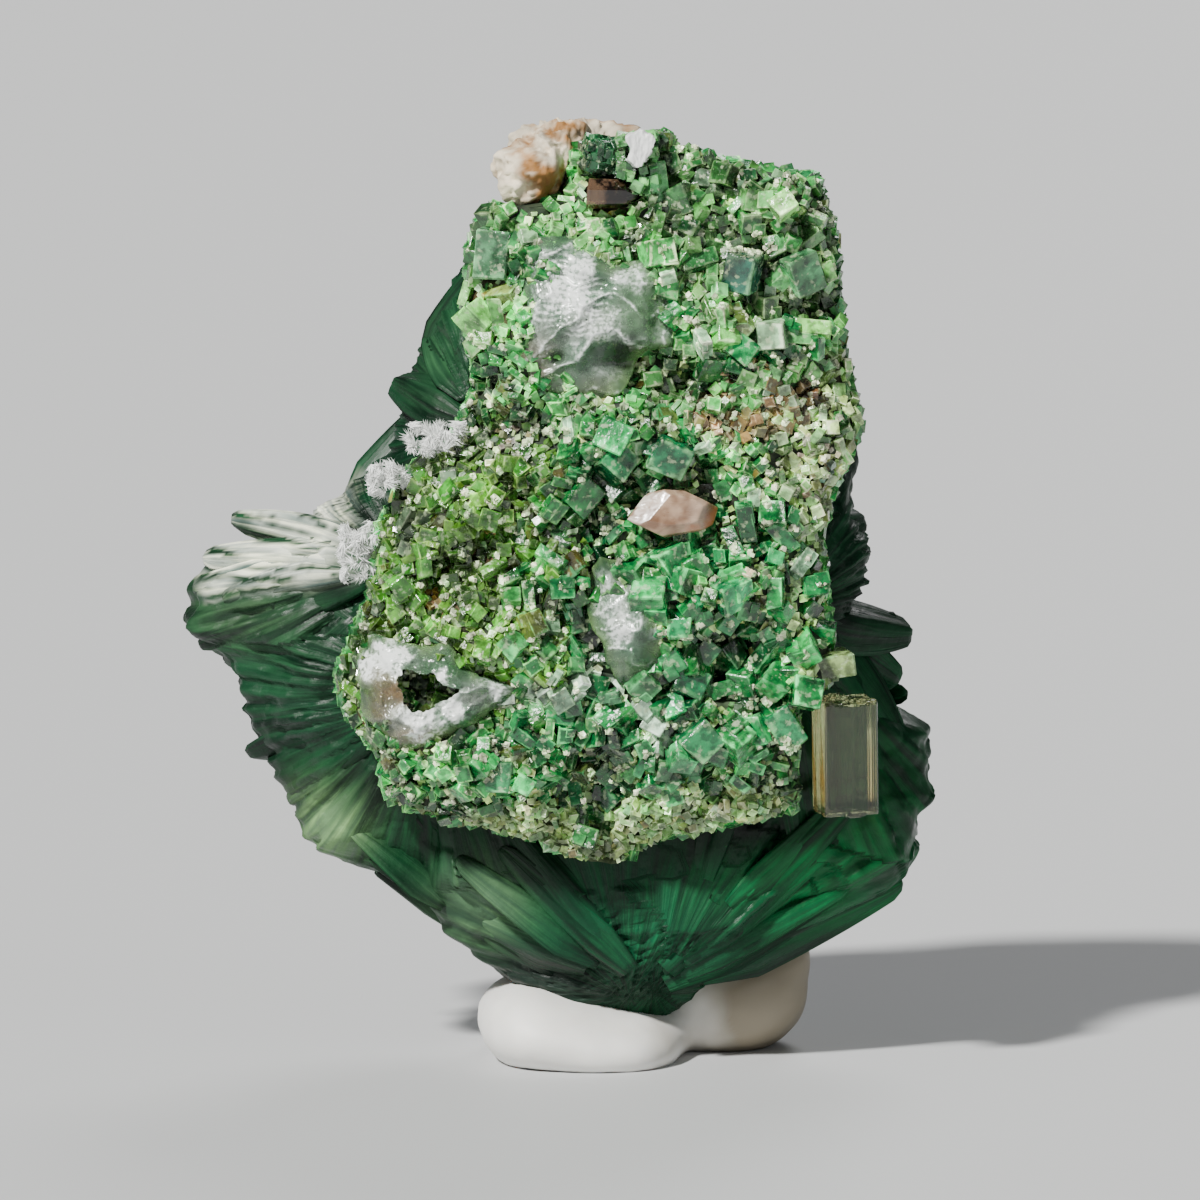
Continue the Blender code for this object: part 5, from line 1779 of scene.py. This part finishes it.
@dataclass
class SmallPieces:
    """The cap stone, the quartz, the flake, the clear prism and the tufts."""

    needles: int = 90

    def stone_cap(self) -> Surface:
        """The cream stone: two joined lumps with a rough, grainy skin.

        Returns:
            The closed stone.
        """
        lump = Lump([(-2.9, -5.0, 36.6, 1.3, 1.6, 1.4), (-0.5, -2.9, 37.0, 2.9, 1.0, 1.6),
                     (-1.6, -3.6, 37.5, 1.1, 1.1, 1.1)], (-1.7, -3.8, 36.8), 0.35,
                    lambda p: 0.42 * MM * lattice_noise(p, 1.0 * MM, 91, 4)
                    - 0.3 * MM * np.abs(lattice_noise(p, 0.5 * MM, 92, 3)) + 0.1 * MM)
        surface = lump.surface()
        stain = lattice_noise(surface.points, 0.9 * MM, 93, 4) * 1.2 + 0.2
        x, y, z = (surface.points / MM).T
        stain = stain + 1.1 * bell(x, z, (-2.7, 36.9, 0.7, 0.6)) * np.exp(-((y + 6.5) / 1.2) ** 2)
        surface.colours["tone"] = mix_colours((0.84, 0.74, 0.56), (0.38, 0.18, 0.05), stain)
        return surface

    def smoky_quartz(self) -> Surface:
        """Six-sided, with a pointed end.

        Returns:
            The closed crystal.
        """
        turn = np.radians(np.arange(0, 360, 60) + 12)
        sides = np.stack([np.full(6, 0.06), np.cos(turn), np.sin(turn)], -1)
        tips = np.stack([np.full(6, 0.75), 0.66 * np.cos(turn), 0.66 * np.sin(turn)], -1)
        planes = np.concatenate([sides, tips, [(-1, 0.1, 0.05)]])
        depths = np.concatenate([np.full(6, 0.72), np.linspace(0.86, 0.98, 6), [0.85]])
        surface = cut_stone((0.4, -6.9, 35.95), (1.0, 0.75, 0.72), planes, depths)
        streak = lattice_noise(surface.points * (1.0, 1.0, 0.25), 0.22 * MM, 86)
        share = (0.35 - surface.points[:, 0] / MM) * 1.5 + 1.3 * streak + 0.3
        surface.colours["tone"] = mix_colours((0.012, 0.005, 0.003), (0.34, 0.20, 0.12), share)
        return surface

    def pink_quartz(self) -> Surface:
        """A broken grain of rosy quartz, rusty at its lower right.

        Returns:
            The closed grain.
        """
        pick = np.random.default_rng(33)
        planes = np.concatenate([pick.normal(0, 1, (34, 3)), [(0.1, -1, 0.2), (-0.6, -0.8, 0.5)]])
        depths = np.concatenate([pick.uniform(0.86, 1.0, 34), [0.72, 0.8]])
        surface = cut_stone((2.88, -8.35, 23.3), (1.62, 0.8, 0.98), planes, depths, 90, 120)
        rust = lattice_noise(surface.points, 0.6 * MM, 94) + (surface.points[:, 0] / MM - 3.7) * 0.9 \
            - (surface.points[:, 2] / MM - 22.9) * 0.8
        cloud = lattice_noise(surface.points, 0.5 * MM, 95) + 0.4
        tone = mix_colours((0.22, 0.12, 0.07), (0.50, 0.34, 0.23), cloud)
        near = np.clip(rust * 1.3, 0, 1)[:, None]
        tone = tone * (1 - near) + np.array((0.40, 0.12, 0.02)) * near
        pale = np.clip((2.3 - surface.points[:, 0] / MM) + (surface.points[:, 2] / MM - 23.5), 0, 1)[:, None]
        pale = pale * np.clip(lattice_noise(surface.points, 0.35 * MM, 88)[:, None] * 2.4 + 0.35, 0, 1)
        surface.points += 0.05 * MM * pale * lattice_noise(surface.points, 0.16 * MM, 87)[:, None]
        surface.colours["tone"] = tone * (1 - pale) + np.array((0.88, 0.80, 0.70)) * pale
        return surface

    def white_flake(self) -> Surface:
        """A thin upright chip with a ragged outline.

        Returns:
            The closed chip.
        """
        pick = np.random.default_rng(37)
        turn = np.radians(np.arange(0, 360, 36) + pick.uniform(-9, 9, 10))
        planes = np.concatenate([np.stack([np.cos(turn), 0.1 * np.sin(3 * turn), np.sin(turn)], -1),
                                 [(0.1, -1, 0.08), (-0.05, 1, 0.1)]])
        depths = np.concatenate([pick.uniform(0.72, 1.0, 10), [0.8, 0.8]])
        centre = (1.55, -7.45, 37.7)
        surface = cut_stone(centre, (0.54, 0.40, 0.98), planes, depths, 90, 130)
        away = surface.points - np.array(centre) * MM
        ragged = 0.30 * lattice_noise(away * (1.0, 0.0, 1.0), 0.42 * MM, 96, 4)
        surface.points += away * ragged[:, None] * (1.0, 0.2, 0.6)
        surface.points[:, 1] += 0.10 * MM * np.abs(lattice_noise(away * (1.0, 1.0, 0.3), 0.22 * MM, 89))
        surface.colours["tone"] = np.tile((0.88, 0.90, 0.88), (len(surface.points), 1))
        return surface

    def prism(self) -> Surface:
        """A square column: a square profile with fine grooves on its sides, carried up a leaning line.

        Returns:
            The closed column with stepped, slightly domed ends.
        """
        columns, rows = 240, 50
        place = np.arange(columns) / columns * 4
        side = np.floor(place) * math.pi / 2
        flat = (place % 1.0) * 2 - 1
        groove = 0.006 * np.sin(place * 43) + 0.016 * np.round(np.sin(place * 9))
        groove = groove + 0.01 * np.round(np.sin(place * 23))
        out = 1 - 0.05 * flat ** 14 + groove * (1 - flat ** 6)
        ring = np.stack([np.cos(side) * out - np.sin(side) * flat * (1 - 0.05 * flat ** 14),
                         np.sin(side) * out + np.cos(side) * flat * (1 - 0.05 * flat ** 14)], -1)
        along = np.concatenate([np.full(6, 0.0), np.linspace(0, 1, rows - 12), np.full(6, 1.0)])
        inset = np.concatenate([np.linspace(0.02, 0.97, 6), np.ones(rows - 12), np.linspace(0.97, 0.02, 6)])
        ring = ring * np.array((1.12, 1.02))
        x = ring[None, :, 0] * inset[:, None]
        y = ring[None, :, 1] * inset[:, None]
        z = (along[:, None] - 0.5) * 4.55 + 0 * x
        z = z + np.where(inset[:, None] < 1, 0.05 * np.round(2 * np.sin(x * 3 + y * 2)), 0.0)
        place = np.stack([x, y, z], -1)
        turned = place @ turn_matrices(np.radians([[4.0, -2.0, 14.0]]))[0].T
        surface = tube_surface((turned + (9.85, -5.95, 13.3)) * MM, (4.0, 4.55))
        stripe = lattice_noise(surface.points * (1.0, 1.0, 0.12), 0.5 * MM, 97)
        brown = (surface.points[:, 0] / MM - 9.3) * -1.1 + 0.9 * stripe
        surface.colours["tone"] = mix_colours((0.56, 0.64, 0.32), (0.26, 0.11, 0.015), brown)
        return surface

    def tuft(self, centre: Sequence[float], radii: Sequence[float], seed: int, sprays: int) -> Surface:
        """Sprays of needles, each needle a thin pyramid of three sides that leaves its spray's foot.

        Args:
            centre: the tuft's middle in millimetres.
            radii: the tuft's half sizes in millimetres.
            seed: picks the needles.
            sprays: number of sprays.

        Returns:
            All needles as one surface.
        """
        pick = np.random.default_rng(seed)
        middle, radii = np.array(centre) * MM, np.array(radii) * MM
        foot = middle + np.clip(pick.normal(0, 0.42, (sprays, 3)), -0.7, 0.7) * radii
        axis = pick.normal(0, 1, (sprays, 3)) * (1, 0.5, 1) + (foot - middle) / radii * 1.4 - (0, 0.5, 0)
        foot, axis = np.repeat(foot, self.needles, axis=0), np.repeat(axis, self.needles, axis=0)
        axis /= np.linalg.norm(axis, axis=-1, keepdims=True)
        count = len(foot)
        way = axis + pick.normal(0, 0.42, (count, 3))
        way /= np.linalg.norm(way, axis=-1, keepdims=True)
        reach = pick.uniform(0.2, 1.0, (count, 1)) ** 1.3 * 0.8 * MM
        tip = foot + way * reach
        beyond = np.linalg.norm((tip - middle) / (1.05 * radii), axis=-1, keepdims=True)
        tip = middle + (tip - middle) / np.maximum(beyond / pick.uniform(0.75, 1.08, (count, 1)), 1.0)
        root = foot + way * reach * pick.uniform(-0.1, 0.3, (count, 1))
        side = np.cross(tip - root, pick.normal(0, 1, (count, 3)))
        side /= np.linalg.norm(side, axis=-1, keepdims=True) + 1e-12
        other = np.cross(tip - root, side)
        other /= np.linalg.norm(other, axis=-1, keepdims=True) + 1e-12
        width = pick.uniform(0.022, 0.055, (count, 1)) * MM
        ring = [root + width * (math.cos(a) * side + math.sin(a) * other) for a in (0.0, 2.094, 4.189)]
        points = np.stack([*ring, tip], axis=1).reshape(-1, 3)
        faces = np.array([(0, 1, 3), (1, 2, 3), (2, 0, 3), (2, 1, 0)])
        faces = (faces[None] + (np.arange(count) * 4)[:, None, None]).reshape(-1, 3)
        tone = mix_colours((0.99, 0.99, 0.98), (0.90, 0.93, 0.90), pick.uniform(0, 1, count))
        return Surface(points, [faces], np.zeros((faces.size, 2)), {"tone": np.repeat(tone, 4, axis=0)})

    def build(self) -> None:
        """Make each piece and dress it."""
        finish_piece("cap_rock", self.stone_cap(), StoneFinish("cream_stone", 0.8, 900.0, 0.4, 0.0001).make(),
                     ["stone_cap"])
        finish_piece("smoky_crystal", self.smoky_quartz(),
                     ClearFinish("smoky_quartz", 0.06, 0.75, 1.54, (3.0, 12.0)).make(),
                     ["smoky_quartz"])
        finish_piece("pink_grain", self.pink_quartz(),
                     ClearFinish("pink_quartz", 0.3, 0.2, 1.54, (6.0, 6.0), (0.8, 0.66, 0.54), 0.25).make(),
                     ["pink_quartz"])
        finish_piece("flake_chip", self.white_flake(),
                     StoneFinish("white_flake", 0.45, 1500.0, 0.12, 0.00005).make(),
                     ["white_flake"])
        finish_piece("clear_column", self.prism(),
                     ClearFinish("clear_yellow", 0.04, 1.0, 1.5, (3.0, 0.06)).make(),
                     ["prism_crystal"])
        white = StoneFinish("white_fibre", 0.6, 2000.0, 0.1, 0.00002).make()
        for seed, (name, centre, radii) in enumerate(TUFTS):
            sprays = int(14 + 12 * radii[0] * radii[2])
            needles = self.tuft(centre, radii, 100 + seed, sprays)
            finish_piece(name + "_needles", needles, white, [name], smooth=False)


@dataclass
class PuttyFoot:
    """The white putty: two squeezed lobes of blended balls (x, y, z and radii), flat below."""

    balls: tuple[tuple[float, ...], ...] = (
        (-3.0, 0.9, 1.5, 2.0, 4.7, 1.8), (-1.3, 0.8, 1.1, 2.4, 4.7, 1.7), (0.7, 0.6, 0.6, 2.7, 4.5, 1.5),
        (5.3, 3.4, 2.2, 3.3, 3.5, 2.6), (7.2, 3.4, 3.8, 1.45, 1.5, 1.05))
    middle: tuple[float, float, float] = (2.2, 2.0, 1.4)
    blend: float = 0.4

    def build(self) -> None:
        """Make the putty and dress it."""
        lump = Lump(self.balls, self.middle, self.blend,
                    lambda p: 0.12 * MM * lattice_noise(p, 2.6 * MM, 98, 2)
                    + 0.03 * MM * lattice_noise(p, 0.7 * MM, 99, 2))
        surface = lump.surface()
        surface.points[:, 2] = np.maximum(surface.points[:, 2], 0.0)
        # Painted shade: the putty darkens to beige-grey towards its right lobe, which lies further back,
        # broken by noise.
        shade = (surface.points[:, 0] / MM - 2.0) * 0.24 + 0.3 * lattice_noise(surface.points, 2.0 * MM, 90)
        surface.colours["tone"] = mix_colours((0.86, 0.85, 0.81), (0.30, 0.26, 0.19), shade)
        finish_piece("putty_blob", surface, StoneFinish("putty", 0.5, 500.0, 0.08, 0.00003, 0.12).make(),
                     ["putty_foot"])


# Studio


@dataclass
class Studio:
    """Pale floor, soft lights and the camera of the photograph's angle."""

    elevation: float = 6.0
    distance: float = 0.30
    frame_width: float = 48.0 * MM
    target: tuple[float, float, float] = (0.0, -7.0 * MM, 19.7 * MM)
    floor_half: float = 3.0
    floor_colour: Colour = (0.54, 0.55, 0.56)
    sky_colour: Colour = (0.86, 0.88, 0.9)
    sky_strength: float = 0.11
    suns: tuple[tuple, ...] = (
        ("key", (-0.55, -0.75, 0.85), 5.0, 7.0, (1.0, 0.985, 0.95)),
        ("fill", (0.60, -0.60, 0.40), 35.0, 0.25, (0.96, 0.98, 1.0)),
        ("back", (0.20, 0.70, 0.60), 25.0, 0.9, (1.0, 1.0, 1.0)))

    def floor(self) -> None:
        """A wide pale floor that isn't part of the object."""
        corners = np.array([(-1, -1, 0), (1, -1, 0), (1, 1, 0), (-1, 1, 0)], float) * self.floor_half
        floor = put_mesh("floor", Surface(corners, [np.array([[0, 1, 2, 3]])]), False)
        g = Graph("floor")
        g.set(Base_Color=(*self.floor_colour, 1.0), Roughness=0.6)
        floor.data.materials.append(g.material)

    def sun(self, name: str, place: Sequence[float], spread: float, strength: float, colour: Colour) -> None:
        """A far soft light that lights the floor evenly.

        Args:
            name: its name.
            place: direction that it shines from.
            spread: its width in degrees.
            strength: its strength in watts to a square metre.
            colour: its colour.
        """
        data = bpy.data.lights.new(name, "SUN")
        data.angle = math.radians(spread)
        data.energy = strength
        data.color = colour
        lamp = bpy.data.objects.new(name, data)
        lamp.location = place
        lamp.rotation_mode = "QUATERNION"
        lamp.rotation_quaternion = (-Vector(place)).to_track_quat("-Z", "Y")
        bpy.context.scene.collection.objects.link(lamp)

    def camera(self) -> None:
        """The camera, level with the crust and slightly above it, with nothing out of focus."""
        data = bpy.data.cameras.new("camera")
        data.sensor_width = 36.0
        data.lens = data.sensor_width * self.distance / self.frame_width
        data.clip_start, data.clip_end = 0.005, 10.0
        camera = bpy.data.objects.new("camera", data)
        lift = math.radians(self.elevation)
        back = Vector((0.0, -math.cos(lift), math.sin(lift)))
        camera.location = Vector(self.target) + back * self.distance
        camera.rotation_mode = "QUATERNION"
        camera.rotation_quaternion = (-back).to_track_quat("-Z", "Y")
        bpy.context.scene.collection.objects.link(camera)
        bpy.context.scene.camera = camera

    def build(self) -> None:
        """Set up the floor, the lights, the surroundings and the camera."""
        self.floor()
        for sun in self.suns:
            self.sun(*sun)
        world = bpy.data.worlds.new("studio")
        world.use_nodes = True
        sky = world.node_tree.nodes["Background"].inputs
        sky["Color"].default_value = (*self.sky_colour, 1.0)
        sky["Strength"].default_value = self.sky_strength
        bpy.context.scene.world = world
        self.camera()


def main() -> None:
    """Build every part of the specimen in order."""
    logging.basicConfig(level=logging.INFO, format="%(name)s: %(message)s")
    Studio().build()
    BladedRock().build()
    CrystalCrust().build()
    for film in FILMS:
        film.build()
    SmallPieces().build()
    PuttyFoot().build()


if __name__ == "__main__":
    main()
